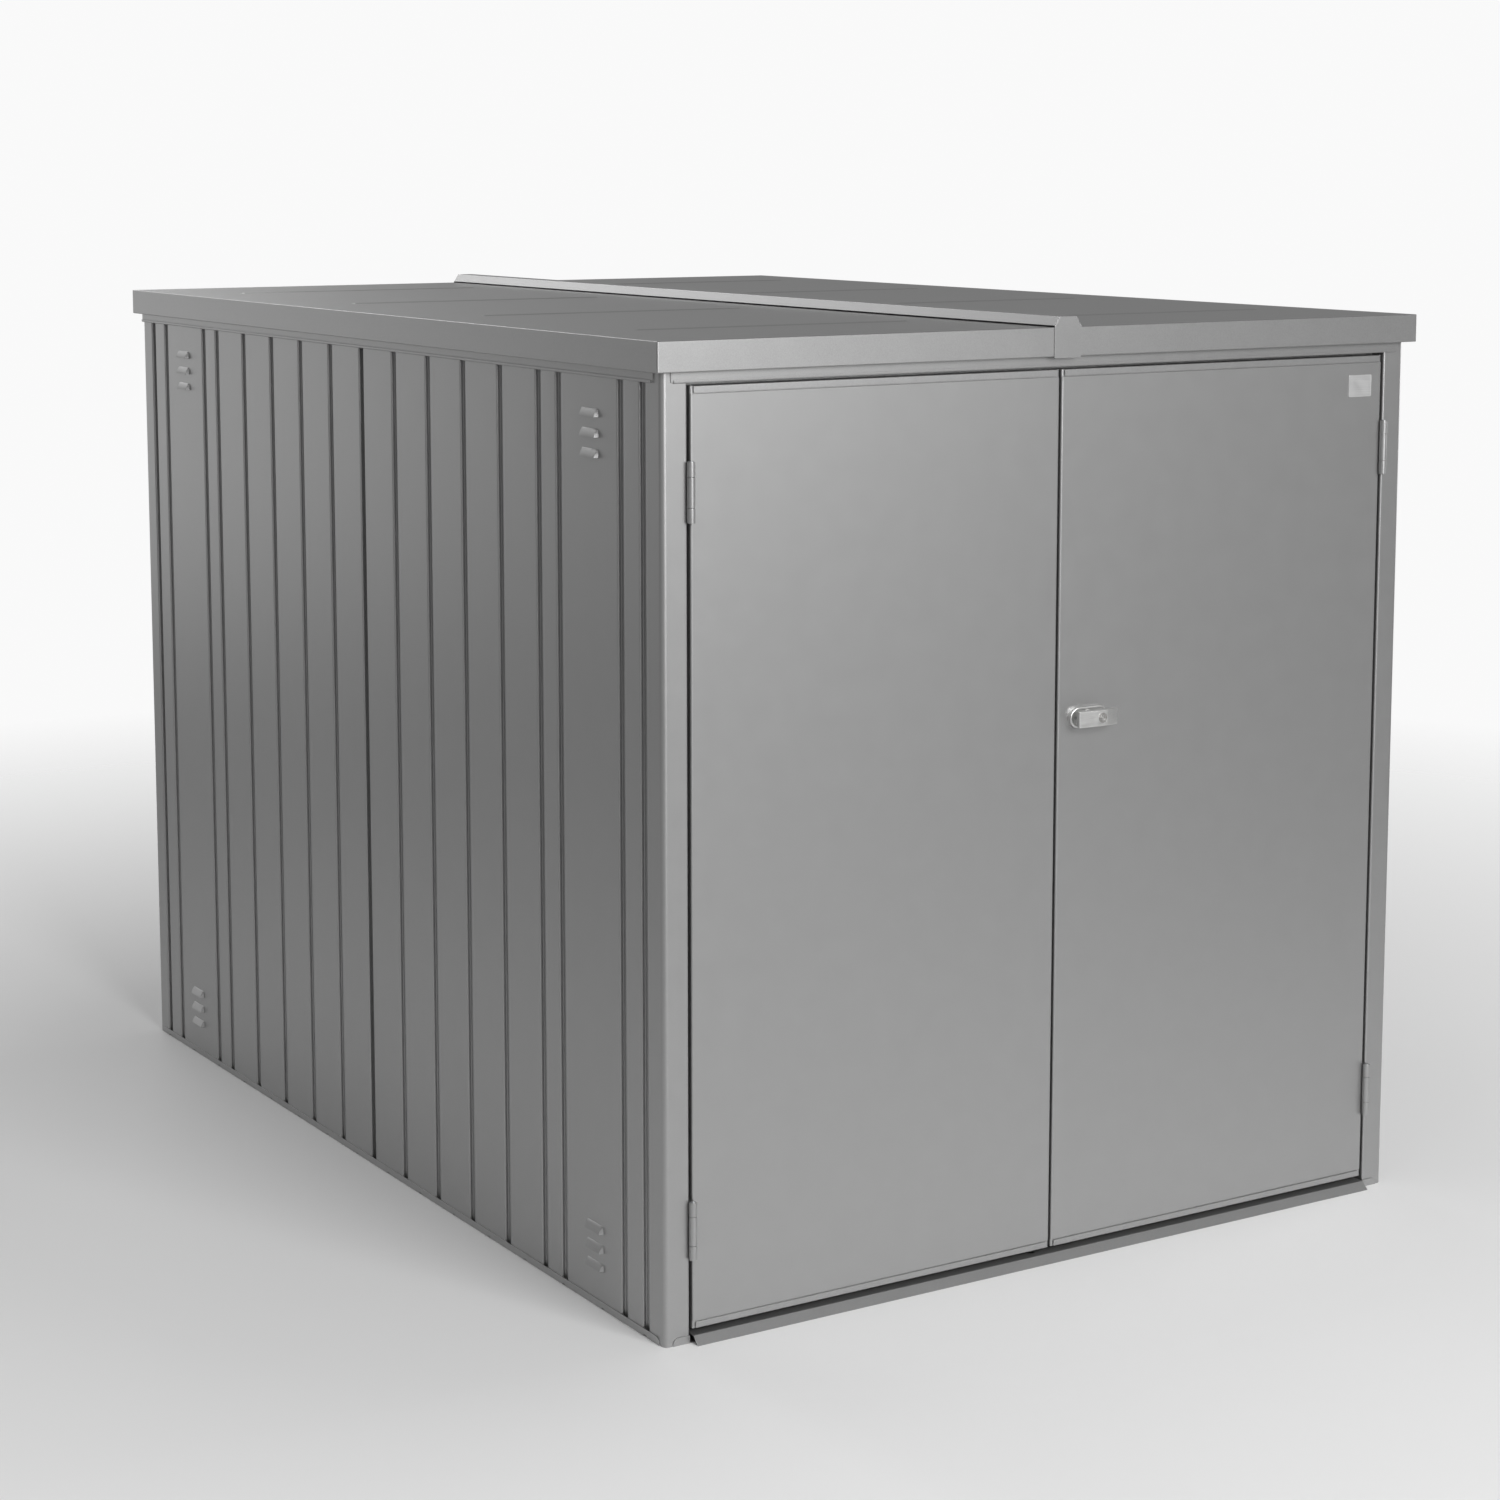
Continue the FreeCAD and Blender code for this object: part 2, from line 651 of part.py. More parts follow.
def roof_tray():
    """Left roof tray: flat top, skirt on three sides with a return below, upstand at the middle joint."""
    left = -side_x - ROOF_OVERHANG
    right = -ROOF_JOINT / 2
    end_y = face_y + ROOF_OVERHANG
    bottom = ROOF_TOP - SKIRT_HEIGHT
    block = box((left, right), (-end_y, end_y), (bottom, ROOF_TOP))
    outer_edges = [e for e in block.Edges if e.BoundBox.XMax < left + 1]
    upright = [e for e in outer_edges if abs(e.BoundBox.ZLength - SKIRT_HEIGHT) < 1e-6]
    block = block.makeFillet(BEND + SKIN_SHEET, upright)
    rim = [e for e in block.Edges if e.BoundBox.ZMin > ROOF_TOP - 1e-6 and e.BoundBox.XMin < right - 1]
    block = block.makeFillet(BEND, rim)
    lining = box(
        (left + SKIN_SHEET, right + 1),
        (-end_y + SKIN_SHEET, end_y - SKIN_SHEET),
        (bottom + SKIN_SHEET, ROOF_TOP - SKIN_SHEET),
    )
    mouth = box(
        (left + SKIRT_RETURN, right + 1),
        (-end_y + SKIRT_RETURN, end_y - SKIRT_RETURN),
        (bottom - 1, bottom + 2 * SKIN_SHEET),
    )
    upstand = box((right - SKIN_SHEET, right), (-end_y, end_y), (roof_under, ROOF_TOP + ROOF_UPSTAND))
    return block.cut(lining).cut(mouth).fuse(upstand).removeSplitter()


def stiffener_rows():
    """Places of the roof stiffeners along Y, evenly spaced about the middle."""
    first = -(STIFFENER_ROWS - 1) / 2
    return [(first + i) * stiffener_pitch for i in range(STIFFENER_ROWS)]


def roof_stiffeners():
    """Shallow hats bonded under both trays."""
    top = roof_under
    half = STIFFENER_WIDTH / 2
    foot = half / 2
    outer = side_x - STIFFENER_EAVE_GAP
    hats = []
    for middle in stiffener_rows():
        path = [
            (middle + half, top - SKIN_SHEET),
            (middle + foot, top - SKIN_SHEET),
            (middle + foot, top - STIFFENER_DEPTH),
            (middle - foot, top - STIFFENER_DEPTH),
            (middle - foot, top - SKIN_SHEET),
            (middle - half, top - SKIN_SHEET),
        ]
        hat = folded(path, SKIN_SHEET, "YZ", -outer, -STIFFENER_START, bend=TIGHT_BEND)
        hats.append(hat)
        hats.append(mirror_x(hat))
    return hats


def ridge_beam():
    """Rectangular tube under the joint of the roof trays, from the header to the back rail."""
    end_y = face_y - header_depth
    half = BEAM_WIDTH / 2
    outer = box((-half, half), (-end_y, end_y), (roof_under - BEAM_HEIGHT, roof_under))
    inner = box(
        (-half + BEAM_WALL, half - BEAM_WALL),
        (-end_y - 1, end_y + 1),
        (roof_under - BEAM_HEIGHT + BEAM_WALL, roof_under - BEAM_WALL),
    )
    return outer.cut(inner)


def ridge_cap():
    """Folded cap over the joint of the roof trays."""
    foot = ROOF_TOP + RIDGE_LIFT
    top = ROOF_TOP + RIDGE_RISE
    half = RIDGE_WIDTH / 2
    crown = RIDGE_TOP_WIDTH / 2
    end_y = face_y + ROOF_OVERHANG
    path = [(-half, foot), (-crown, top), (crown, top), (half, foot)]
    return folded(path, SKIN_SHEET, "XZ", -end_y, end_y)


def ridge_end():
    """Front end plate over the skirts' joint and the end of the ridge cap."""
    half = RIDGE_WIDTH / 2
    crown = RIDGE_TOP_WIDTH / 2
    top = ROOF_TOP + RIDGE_RISE
    low = ROOF_TOP - SKIRT_HEIGHT - RIDGE_PLATE_DROP
    shoulder = ROOF_TOP + RIDGE_LIFT
    points = [(-half, low), (-half, shoulder), (-crown, top), (crown, top), (half, shoulder), (half, low)]
    front = -face_y - ROOF_OVERHANG
    return prism(points, "XZ", front - FRAME_SHEET, front)


def door_skin():
    """Skin of the left door: a flat face with both long edges folded back and in."""
    back = door_back
    path = [
        (-door_meet - DOOR_FLANGE, back),
        (-door_meet, back),
        (-door_meet, -face_y),
        (-door_edge, -face_y),
        (-door_edge, back),
        (-door_edge + DOOR_FLANGE, back),
    ]
    return folded(path, SKIN_SHEET, "XY", DOOR_BOTTOM + SKIN_SHEET, door_top - SKIN_SHEET, bend=DOOR_BEND)


def door_cap(edge, inward):
    """Channel that closes the left door at the height of its edge, with a lip over the front of the skin.

    inward is 1 where the door lies above the edge and -1 where it lies below.
    """
    back = door_back
    web = box((-door_edge, -door_meet), (-face_y, back), (edge, edge + inward * SKIN_SHEET))
    upright = [e for e in web.Edges if abs(e.BoundBox.ZLength - SKIN_SHEET) < 1e-6]
    web = web.makeFillet(DOOR_BEND, upright)
    lip_x = (-door_edge + CAP_INSET, -door_meet - CAP_INSET)
    lip = box(lip_x, (-face_y - SKIN_SHEET, -face_y), (edge, edge + inward * CAP_LIP))
    flange_x = (-door_edge + DOOR_FLANGE + SKIN_SHEET, -door_meet - DOOR_FLANGE - SKIN_SHEET)
    flange = box(flange_x, (back - SKIN_SHEET, back), (edge, edge + inward * CAP_FLANGE))
    return web.fuse([lip, flange]).removeSplitter()


def hat_heights():
    """Heights of the door stiffeners, evenly spaced below and above the lock and its guides."""
    reach = GUIDE_NEAR + GUIDE_HEIGHT / 2 + HAT_WIDTH / 2 + HAT_LOCK_GAP
    heights = []
    for count, low, high in (
        (HATS_BELOW_LOCK, DOOR_BOTTOM, HANDLE_Z - reach),
        (HATS_ABOVE_LOCK, HANDLE_Z + reach, door_top),
    ):
        heights += [low + (high - low) * (i + 1) / (count + 1) for i in range(count)]
    return heights


def door_hats():
    """Cross stiffeners on the inside of the left door's skin."""
    front = door_skin_inner
    crown = rod_front - HAT_ROD_GAP
    start = -door_edge + HAT_END_GAP
    end = -door_meet - HAT_END_GAP
    hats = []
    for middle in hat_heights():
        path = [
            (front + SKIN_SHEET, middle + HAT_WIDTH / 2),
            (front + SKIN_SHEET, middle + HAT_CROWN / 2),
            (crown, middle + HAT_CROWN / 2),
            (crown, middle - HAT_CROWN / 2),
            (front + SKIN_SHEET, middle - HAT_CROWN / 2),
            (front + SKIN_SHEET, middle - HAT_WIDTH / 2),
        ]
        hats.append(folded(path, SKIN_SHEET, "YZ", start, end, bend=TIGHT_BEND))
    return hats


def hinge_knuckle(low, high):
    """Knuckle of a left hinge between two heights, with its bore."""
    foot = Vector(-hinge_x, hinge_y, low)
    head = Vector(-hinge_x, hinge_y, high)
    return rod(KNUCKLE_RADIUS, foot, head).cut(rod(PIN_RADIUS + PIN_CLEARANCE, foot, head))


def hinge_leaf(middle_z, knuckles, plate_x):
    """Leaf of a left hinge: a plate in the door gap that joins its knuckles. plate_x is (low, high)."""
    half = HINGE_LENGTH / 2
    plate_y = (-face_y + LEAF_CLEAR, -face_y + LEAF_DEPTH)
    leaf = box(plate_x, plate_y, (middle_z - half, middle_z + half))
    bore = rod(
        PIN_RADIUS + PIN_CLEARANCE,
        Vector(-hinge_x, hinge_y, middle_z - half - 1),
        Vector(-hinge_x, hinge_y, middle_z + half + 1),
    )
    for low, high in knuckles:
        neck = box(plate_x, (hinge_y, -face_y + LEAF_CLEAR), (low, high))
        leaf = leaf.fuse([hinge_knuckle(low, high), neck.cut(bore)])
    return leaf.removeSplitter()


def knuckle_heights(middle_z):
    """Bottom, middle and top knuckle of a hinge as (low, high) pairs, parted by the knuckle gap."""
    half = HINGE_LENGTH / 2
    quarter = HINGE_LENGTH / 4
    bottom = (middle_z - half, middle_z - quarter - KNUCKLE_GAP / 2)
    middle = (middle_z - quarter + KNUCKLE_GAP / 2, middle_z + quarter - KNUCKLE_GAP / 2)
    top = (middle_z + quarter + KNUCKLE_GAP / 2, middle_z + half)
    return bottom, middle, top


def frame_leaves():
    """Leaves of the left hinges on the post, each with a bottom and a top knuckle."""
    plate_x = (-jamb_x, -jamb_x + LEAF_THICK)
    leaves = []
    for height in hinge_heights:
        bottom, _, top = knuckle_heights(height)
        leaves.append(hinge_leaf(height, [bottom, top], plate_x))
    return leaves


def door_leaves():
    """Leaves of the left hinges on the door, each with the middle knuckle."""
    plate_x = (-door_edge - LEAF_THICK, -door_edge)
    leaves = []
    for height in hinge_heights:
        _, middle, _ = knuckle_heights(height)
        leaves.append(hinge_leaf(height, [middle], plate_x))
    return leaves


def hinge_pins():
    """Pins of the left hinges, each hanging by its head on the top knuckle."""
    pins = []
    for height in hinge_heights:
        foot = Vector(-hinge_x, hinge_y, height - HINGE_LENGTH / 2)
        head = Vector(-hinge_x, hinge_y, height + HINGE_LENGTH / 2)
        crown = head + Vector(0, 0, PIN_HEAD_HEIGHT)
        pins.append(rod(PIN_RADIUS, foot, head).fuse(rod(PIN_HEAD_RADIUS, head, crown)).removeSplitter())
    return pins


def y_axis_rod(radius, x, z, start_y, end_y):
    """Round bar along Y."""
    return rod(radius, Vector(x, start_y, z), Vector(x, end_y, z))


def stadium(length, height, x, z, start_y, end_y):
    """Bar along Y with the outline of a slot, centred at x, z."""
    half = length / 2
    rise = height / 2
    points = [(x - half, z - rise), (x - half, z + rise), (x + half, z + rise), (x + half, z - rise)]
    return prism(points, "XZ", start_y, end_y, [rise - 0.001] * 4)


def front_rim(shape, level_y):
    """Edges of a shape that lie in the plane at this Y."""
    boxes = [(edge, edge.BoundBox) for edge in shape.Edges]
    return [edge for edge, near in boxes if abs(near.YMin - level_y) < 1e-6 and near.YLength < 1e-6]


def handle_backplate():
    """Raised plate on the right door that carries the handle's spindle."""
    front = -face_y - PLATE_THICK
    plate = stadium(PLATE_LENGTH, PLATE_HEIGHT, HANDLE_X, HANDLE_Z, front, -face_y)
    plate = plate.makeFillet(PLATE_ROUND, front_rim(plate, front))
    hole = SPINDLE_RADIUS + SHAFT_CLEARANCE
    plate = plate.cut(y_axis_rod(hole, HANDLE_X, HANDLE_Z, front - 1, -face_y + 1))
    return plate.cut(backplate_screw_holes(-face_y - SCREW_GRIP, -face_y + 1, SCREW_RADIUS))


def backplate_screw_holes(start_y, end_y, radius):
    """Two bars on the places of the backplate screws."""
    places = [HANDLE_X - SCREW_SPACING / 2, HANDLE_X + SCREW_SPACING / 2]
    return Part.makeCompound([y_axis_rod(radius, x, HANDLE_Z, start_y, end_y) for x in places])


def backplate_screws():
    """Screws from inside the door into the backplate."""
    screws = []
    head_end = door_skin_inner + SCREW_HEAD_HEIGHT
    for x in (HANDLE_X - SCREW_SPACING / 2, HANDLE_X + SCREW_SPACING / 2):
        shank = y_axis_rod(SCREW_RADIUS, x, HANDLE_Z, -face_y - SCREW_GRIP, door_skin_inner)
        head = y_axis_rod(SCREW_HEAD_RADIUS, x, HANDLE_Z, door_skin_inner, head_end)
        screws.append(shank.fuse(head).removeSplitter())
    return screws


def handle_bar():
    """Handle bar with its neck and the spindle that passes through the backplate to the cam."""
    bar_back = -face_y - PLATE_THICK - BAR_STANDOFF
    bar_front = bar_back - BAR_THICK
    bar = box(
        (HANDLE_X - BAR_LEFT, HANDLE_X + BAR_RIGHT),
        (bar_front, bar_back),
        (HANDLE_Z - BAR_HEIGHT / 2, HANDLE_Z + BAR_HEIGHT / 2),
    )
    bar = bar.makeFillet(BAR_ROUND, bar.Edges)
    neck = y_axis_rod(NECK_RADIUS, HANDLE_X, HANDLE_Z, bar_back, -face_y - PLATE_THICK - KNUCKLE_GAP)
    spindle = y_axis_rod(SPINDLE_RADIUS, HANDLE_X, HANDLE_Z, bar_back, cam_front)
    tail = y_axis_rod(CAM_PIN_RADIUS, HANDLE_X, HANDLE_Z, cam_front, cam_front + CAM_THICK)
    plug_x = HANDLE_X + PLUG_OFFSET
    bore = y_axis_rod(PLUG_RADIUS + SHAFT_CLEARANCE, plug_x, HANDLE_Z, bar_front - 1, bar_front + PLUG_DEPTH)
    return bar.fuse([neck, spindle, tail]).cut(bore).removeSplitter()


def lock_plug():
    """Key plug in the handle bar, with its keyway."""
    bar_front = -face_y - PLATE_THICK - BAR_STANDOFF - BAR_THICK
    plug_x = HANDLE_X + PLUG_OFFSET
    plug = y_axis_rod(PLUG_RADIUS, plug_x, HANDLE_Z, bar_front, bar_front + PLUG_DEPTH - KNUCKLE_GAP)
    keyway = box(
        (plug_x - KEYWAY_WIDTH / 2, plug_x + KEYWAY_WIDTH / 2),
        (bar_front - 1, bar_front + KEYWAY_DEPTH),
        (HANDLE_Z - KEYWAY_LENGTH / 2, HANDLE_Z + KEYWAY_LENGTH / 2),
    )
    return plug.cut(keyway)


def lock_cam():
    """Cam disc on the spindle with one pin for each rod."""
    disc = y_axis_rod(CAM_RADIUS, HANDLE_X, HANDLE_Z, cam_front, cam_front + CAM_THICK)
    disc = disc.cut(y_axis_rod(CAM_PIN_RADIUS, HANDLE_X, HANDLE_Z, cam_front - 1, cam_front + CAM_THICK + 1))
    reach = CAM_PIN_OFFSET * math.cos(math.radians(CAM_REST_ANGLE))
    drop = CAM_PIN_OFFSET * math.sin(math.radians(CAM_REST_ANGLE))
    back = cam_front + CAM_THICK
    pins = []
    for side in (-1, 1):
        x = HANDLE_X + side * reach
        z = HANDLE_Z - side * drop
        pins.append(y_axis_rod(CAM_PIN_RADIUS, x, z, back, back + CAM_PIN_LENGTH))
    return disc.fuse(pins).removeSplitter()


def locking_rod(side):
    """Flat locking rod with its slot over a cam pin: side 1 is the upper rod, side -1 the lower one."""
    middle = HANDLE_X + side * ROD_OFFSET
    slot_z = HANDLE_Z - side * ROD_TRAVEL / 2
    head_end = slot_z - side * ROD_HEAD
    tip = door_top - ROD_TIP_GAP if side > 0 else DOOR_BOTTOM + LOWER_TIP_GAP
    bar = box(
        (middle - ROD_WIDTH / 2, middle + ROD_WIDTH / 2),
        (rod_front, rod_front + ROD_THICK),
        (head_end, tip),
    )
    near = CAM_PIN_OFFSET * math.cos(math.radians(CAM_REST_ANGLE)) - CAM_PIN_RADIUS - SLOT_END_CLEARANCE
    far = CAM_PIN_OFFSET + CAM_PIN_RADIUS + SLOT_END_CLEARANCE
    rise = CAM_PIN_RADIUS + SLOT_CLEARANCE
    slot = box(
        (HANDLE_X + side * near, HANDLE_X + side * far),
        (rod_front - 1, rod_front + ROD_THICK + 1),
        (slot_z - rise, slot_z + rise),
    )
    return bar.cut(slot)


def lock_case():
    """Folded cover behind the cam, open above and below for the rods."""
    half = CASE_WIDTH / 2
    back = case_back
    front = door_skin_inner
    path = [
        (HANDLE_X + half + DOOR_FLANGE / 2, front + FRAME_SHEET),
        (HANDLE_X + half, front + FRAME_SHEET),
        (HANDLE_X + half, back),
        (HANDLE_X - half, back),
        (HANDLE_X - half, front + FRAME_SHEET),
        (HANDLE_X - half - DOOR_FLANGE / 2, front + FRAME_SHEET),
    ]
    low = HANDLE_Z - CASE_HEIGHT / 2
    return folded(path[::-1], FRAME_SHEET, "XY", low, low + CASE_HEIGHT, bend=TIGHT_BEND)


def rod_guide(middle_x, middle_z):
    """Guide block with a slot that one rod slides in."""
    half = GUIDE_WIDTH / 2
    back = rod_front + ROD_THICK + GUIDE_CLEARANCE + GUIDE_WALL
    block = box(
        (middle_x - half, middle_x + half),
        (door_skin_inner, back),
        (middle_z - GUIDE_HEIGHT / 2, middle_z + GUIDE_HEIGHT / 2),
    )
    slot = box(
        (middle_x - ROD_WIDTH / 2 - GUIDE_CLEARANCE, middle_x + ROD_WIDTH / 2 + GUIDE_CLEARANCE),
        (rod_front - GUIDE_CLEARANCE, rod_front + ROD_THICK + GUIDE_CLEARANCE),
        (middle_z - GUIDE_HEIGHT, middle_z + GUIDE_HEIGHT),
    )
    return block.cut(slot)


def rod_guides():
    """Two guides for each rod, one near the lock and one near the door's edge."""
    upper_x = HANDLE_X + ROD_OFFSET
    lower_x = HANDLE_X - ROD_OFFSET
    return [
        rod_guide(upper_x, HANDLE_Z + GUIDE_NEAR),
        rod_guide(upper_x, door_top - GUIDE_FAR),
        rod_guide(lower_x, HANDLE_Z - GUIDE_NEAR),
        rod_guide(lower_x, DOOR_BOTTOM + GUIDE_FAR),
    ]


def slide_bolt(side):
    """Slide bolt of the passive leaf with its knob: side 1 is the top bolt, side -1 the bottom one."""
    tip = door_top - BOLT_TIP_GAP if side > 0 else DOOR_BOTTOM + BOLT_TIP_GAP
    tail = tip - side * BOLT_LENGTH
    shaft = rod(BOLT_RADIUS, Vector(-BOLT_X, bolt_y, tail), Vector(-BOLT_X, bolt_y, tip))
    knob_z = tip - side * KNOB_FROM_TIP
    knob = y_axis_rod(KNOB_RADIUS, -BOLT_X, knob_z, bolt_y, bolt_y + KNOB_LENGTH)
    return shaft.fuse(knob).removeSplitter()


def bolt_housing(side):
    """Block on the skin that a slide bolt runs in, with a slot for its knob."""
    edge = door_top if side > 0 else DOOR_BOTTOM
    near = edge - side * BOLT_HOUSING_GAP
    far = near - side * BOLT_HOUSING_HEIGHT
    half = BOLT_HOUSING_WIDTH / 2
    block = box((-BOLT_X - half, -BOLT_X + half), (door_skin_inner, housing_back), (near, far))
    bore = rod(
        BOLT_RADIUS + BOLT_CLEARANCE,
        Vector(-BOLT_X, bolt_y, min(near, far) - 1),
        Vector(-BOLT_X, bolt_y, max(near, far) + 1),
    )
    tip = door_top - BOLT_TIP_GAP if side > 0 else DOOR_BOTTOM + BOLT_TIP_GAP
    knob_z = tip - side * KNOB_FROM_TIP
    reach = KNOB_RADIUS + KNOB_CLEARANCE
    slot = box(
        (-BOLT_X - reach, -BOLT_X + reach),
        (bolt_y, housing_back + 1),
        (knob_z - side * reach, knob_z + side * (BOLT_TRAVEL + reach)),
    )
    return block.cut(bore).cut(slot)


def badge_plate():
    """Bare plate near the right door's upper outer corner."""
    right = door_edge - BADGE_FROM_EDGE + BADGE_WIDTH / 2
    middle_z = door_top - BADGE_FROM_TOP
    return box(
        (right - BADGE_WIDTH, right),
        (-face_y - BADGE_THICK, -face_y),
        (middle_z - BADGE_HEIGHT / 2, middle_z + BADGE_HEIGHT / 2),
    )


def stud_bars(end, radius, length=STUD_LENGTH):
    """Round bars on the places of the left rail's studs in its front or back post."""
    y = (face_y - STUD_FROM_FACE) * (-1 if end == "front" else 1)
    bars = []
    for z in (wall_top - STUD_UPPER_DROP, rail_bottom + STUD_LOWER_RISE):
        bars.append(rod(radius, Vector(-side_x, y, z), Vector(-side_x + length, y, z)))
    return Part.makeCompound(bars)


def frame_studs():
    """Studs on the side rails, through the posts, each with its nut."""
    studs = []
    for end in ("front", "back"):
        for bar in stud_bars(end, STUD_RADIUS).Solids:
            centre = bar.BoundBox.Center
            points = []
            for i in range(6):
                turn = math.radians(60 * i)
                points.append((centre.y + NUT_RADIUS * math.cos(turn), centre.z + NUT_RADIUS * math.sin(turn)))
            nut = prism(points, "YZ", -side_x + FRAME_SHEET, -side_x + FRAME_SHEET + NUT_THICK)
            stud = bar.fuse(nut).removeSplitter()
            studs.append(stud)
            studs.append(mirror_x(stud))
    return studs


def right_skin():
    """Skin of the right door with the holes of the handle."""
    skin = mirror_x(door_skin())
    hole = SPINDLE_RADIUS + SPINDLE_HOLE_CLEARANCE
    skin = skin.cut(y_axis_rod(hole, HANDLE_X, HANDLE_Z, -face_y - 1, door_skin_inner + 1))
    return skin.cut(backplate_screw_holes(-face_y - 1, door_skin_inner + 1, SCREW_RADIUS))


def main():
    os.makedirs("parts", exist_ok=True)

    save("base_rail_left", side_base_rail())
    save("base_rail_right", mirror_x(side_base_rail()))
    save("base_rail_front", front_base_rail())
    save("base_rail_back", back_base_rail())
    save("threshold", threshold())

    post = front_post()
    save("post_front_left", post)
    save("post_front_right", mirror_x(post))
    post = back_post()
    save("post_back_left", post)
    save("post_back_right", mirror_x(post))

    panel = side_panel()
    save("wall_left_front", panel)
    save("wall_left_back", mirror_y(panel))
    save("wall_right_front", mirror_x(panel))
    save("wall_right_back", mirror_x(mirror_y(panel)))
    panel = back_panel()
    save("wall_back_left", panel)
    save("wall_back_right", mirror_x(panel))
    strip = joint_strip()
    save("joint_strip_left", strip)
    save("joint_strip_right", mirror_x(strip))
    turned = strip.copy()
    turned.rotate(Vector(0, 0, 0), Vector(0, 0, 1), -90)
    turned.translate(Vector(0, face_y - side_x, 0))
    save("joint_strip_back", turned)

    save("top_rail_left", side_top_rail())
    save("top_rail_right", mirror_x(side_top_rail()))
    save("top_rail_back", back_top_rail())
    save("header", header())
    save("bolt_keeper", keeper())
    save("ridge_beam", ridge_beam())
    tray = roof_tray()
    save("roof_left", tray)
    save("roof_right", mirror_x(tray))
    save("roof_stiffeners", *roof_stiffeners())
    save("ridge_cap", ridge_cap())
    save("ridge_end_front", ridge_end())
    save("ridge_end_back", mirror_y(ridge_end()))
    save("frame_studs", *frame_studs())

    leaves = frame_leaves()
    save("hinge_frame_leaves_left", *leaves)
    save("hinge_frame_leaves_right", *[mirror_x(leaf) for leaf in leaves])
    pins = hinge_pins()
    save("hinge_pins_left", *pins)
    save("hinge_pins_right", *[mirror_x(pin) for pin in pins])
    leaves = door_leaves()
    save("hinge_door_leaves_left", *leaves)
    save("hinge_door_leaves_right", *[mirror_x(leaf) for leaf in leaves])

    hats = door_hats()
    upper = door_cap(door_top, -1)
    lower = door_cap(DOOR_BOTTOM, 1)
    upper_holes = bolt_holes("upper", door_top - CAP_LIP, door_top + 1)
    lower_holes = bolt_holes("lower", DOOR_BOTTOM - 1, DOOR_BOTTOM + CAP_LIP)
    save("left_door_skin", door_skin())
    save("left_door_top_cap", upper.cut(upper_holes))
    save("left_door_bottom_cap", lower.cut(lower_holes))
    save("left_door_stiffeners", *hats)
    save("left_bolt_housings", bolt_housing(1), bolt_housing(-1))
    save("left_top_bolt", slide_bolt(1))
    save("left_bottom_bolt", slide_bolt(-1))
    save("right_door_skin", right_skin())
    save("right_door_top_cap", mirror_x(upper).cut(upper_holes))
    save("right_door_bottom_cap", mirror_x(lower).cut(lower_holes))
    save("right_door_stiffeners", *[mirror_x(hat) for hat in hats])

    save("handle_backplate", handle_backplate())
    save("backplate_screws", *backplate_screws())
    save("handle_bar", handle_bar())
    save("lock_plug", lock_plug())
    save("lock_cam", lock_cam())
    save("lock_case", lock_case())
    save("upper_rod", locking_rod(1))
    save("lower_rod", locking_rod(-1))
    save("rod_guides", *rod_guides())
    save("badge_plate", badge_plate())


main()
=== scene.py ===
"""Bicycle locker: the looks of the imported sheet-steel cabinet, laid out as an add-on and run as a script.

Sizes inside the shape functions are millimetres. X runs to the right seen from the doors, Y to the back, Z up.
"""

from types import SimpleNamespace

import bpy
import numpy as np
from bpy.props import FloatProperty, FloatVectorProperty, PointerProperty
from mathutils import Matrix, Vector


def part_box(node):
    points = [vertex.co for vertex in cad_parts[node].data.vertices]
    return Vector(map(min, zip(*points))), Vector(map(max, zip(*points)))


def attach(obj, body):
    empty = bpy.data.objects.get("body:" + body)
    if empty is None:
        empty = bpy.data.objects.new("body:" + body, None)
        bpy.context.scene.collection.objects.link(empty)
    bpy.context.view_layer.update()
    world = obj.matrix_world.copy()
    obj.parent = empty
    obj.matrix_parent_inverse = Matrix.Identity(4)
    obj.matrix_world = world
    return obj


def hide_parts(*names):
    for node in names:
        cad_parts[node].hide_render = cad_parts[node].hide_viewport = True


bl_info = {
    "name": "Bicycle Locker",
    "version": (1, 0, 0),
    "blender": (4, 5, 0),
    "location": "3D View > Sidebar > Bicycle Locker",
    "description": "Builds the panels, doors, lock and studio of a sheet-steel bicycle locker",
    "category": "Add Mesh",
}

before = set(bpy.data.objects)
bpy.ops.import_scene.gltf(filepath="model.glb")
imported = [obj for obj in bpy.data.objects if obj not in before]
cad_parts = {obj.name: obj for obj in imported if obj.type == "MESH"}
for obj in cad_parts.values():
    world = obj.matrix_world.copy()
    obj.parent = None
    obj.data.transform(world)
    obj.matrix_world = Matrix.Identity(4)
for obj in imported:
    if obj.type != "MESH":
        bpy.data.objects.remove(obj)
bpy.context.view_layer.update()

MM = 0.001


# ------------------------------------------------------------------ settings

def length(name, text, default):
    """Length property whose default is given in millimetres."""
    return FloatProperty(name=name, description=text, default=default * MM, min=0.0, precision=4, unit="LENGTH")


def colour(name, text, *shade):
    """Colour property, from one grey or from red, green and blue."""
    red, green, blue = shade * (3 // len(shade))
    return FloatVectorProperty(
        name=name, description=text, default=(red, green, blue, 1), size=4, min=0.0, max=1.0, subtype="COLOR",
    )


def factor(name, text, default):
    """Property between 0 and 1."""
    return FloatProperty(name=name, description=text, default=default, min=0.0, max=1.0, subtype="FACTOR")


def amount(name, text, default, unit="NONE"):
    """Property from 0 up."""
    return FloatProperty(name=name, description=text, default=default, min=0.0, unit=unit)


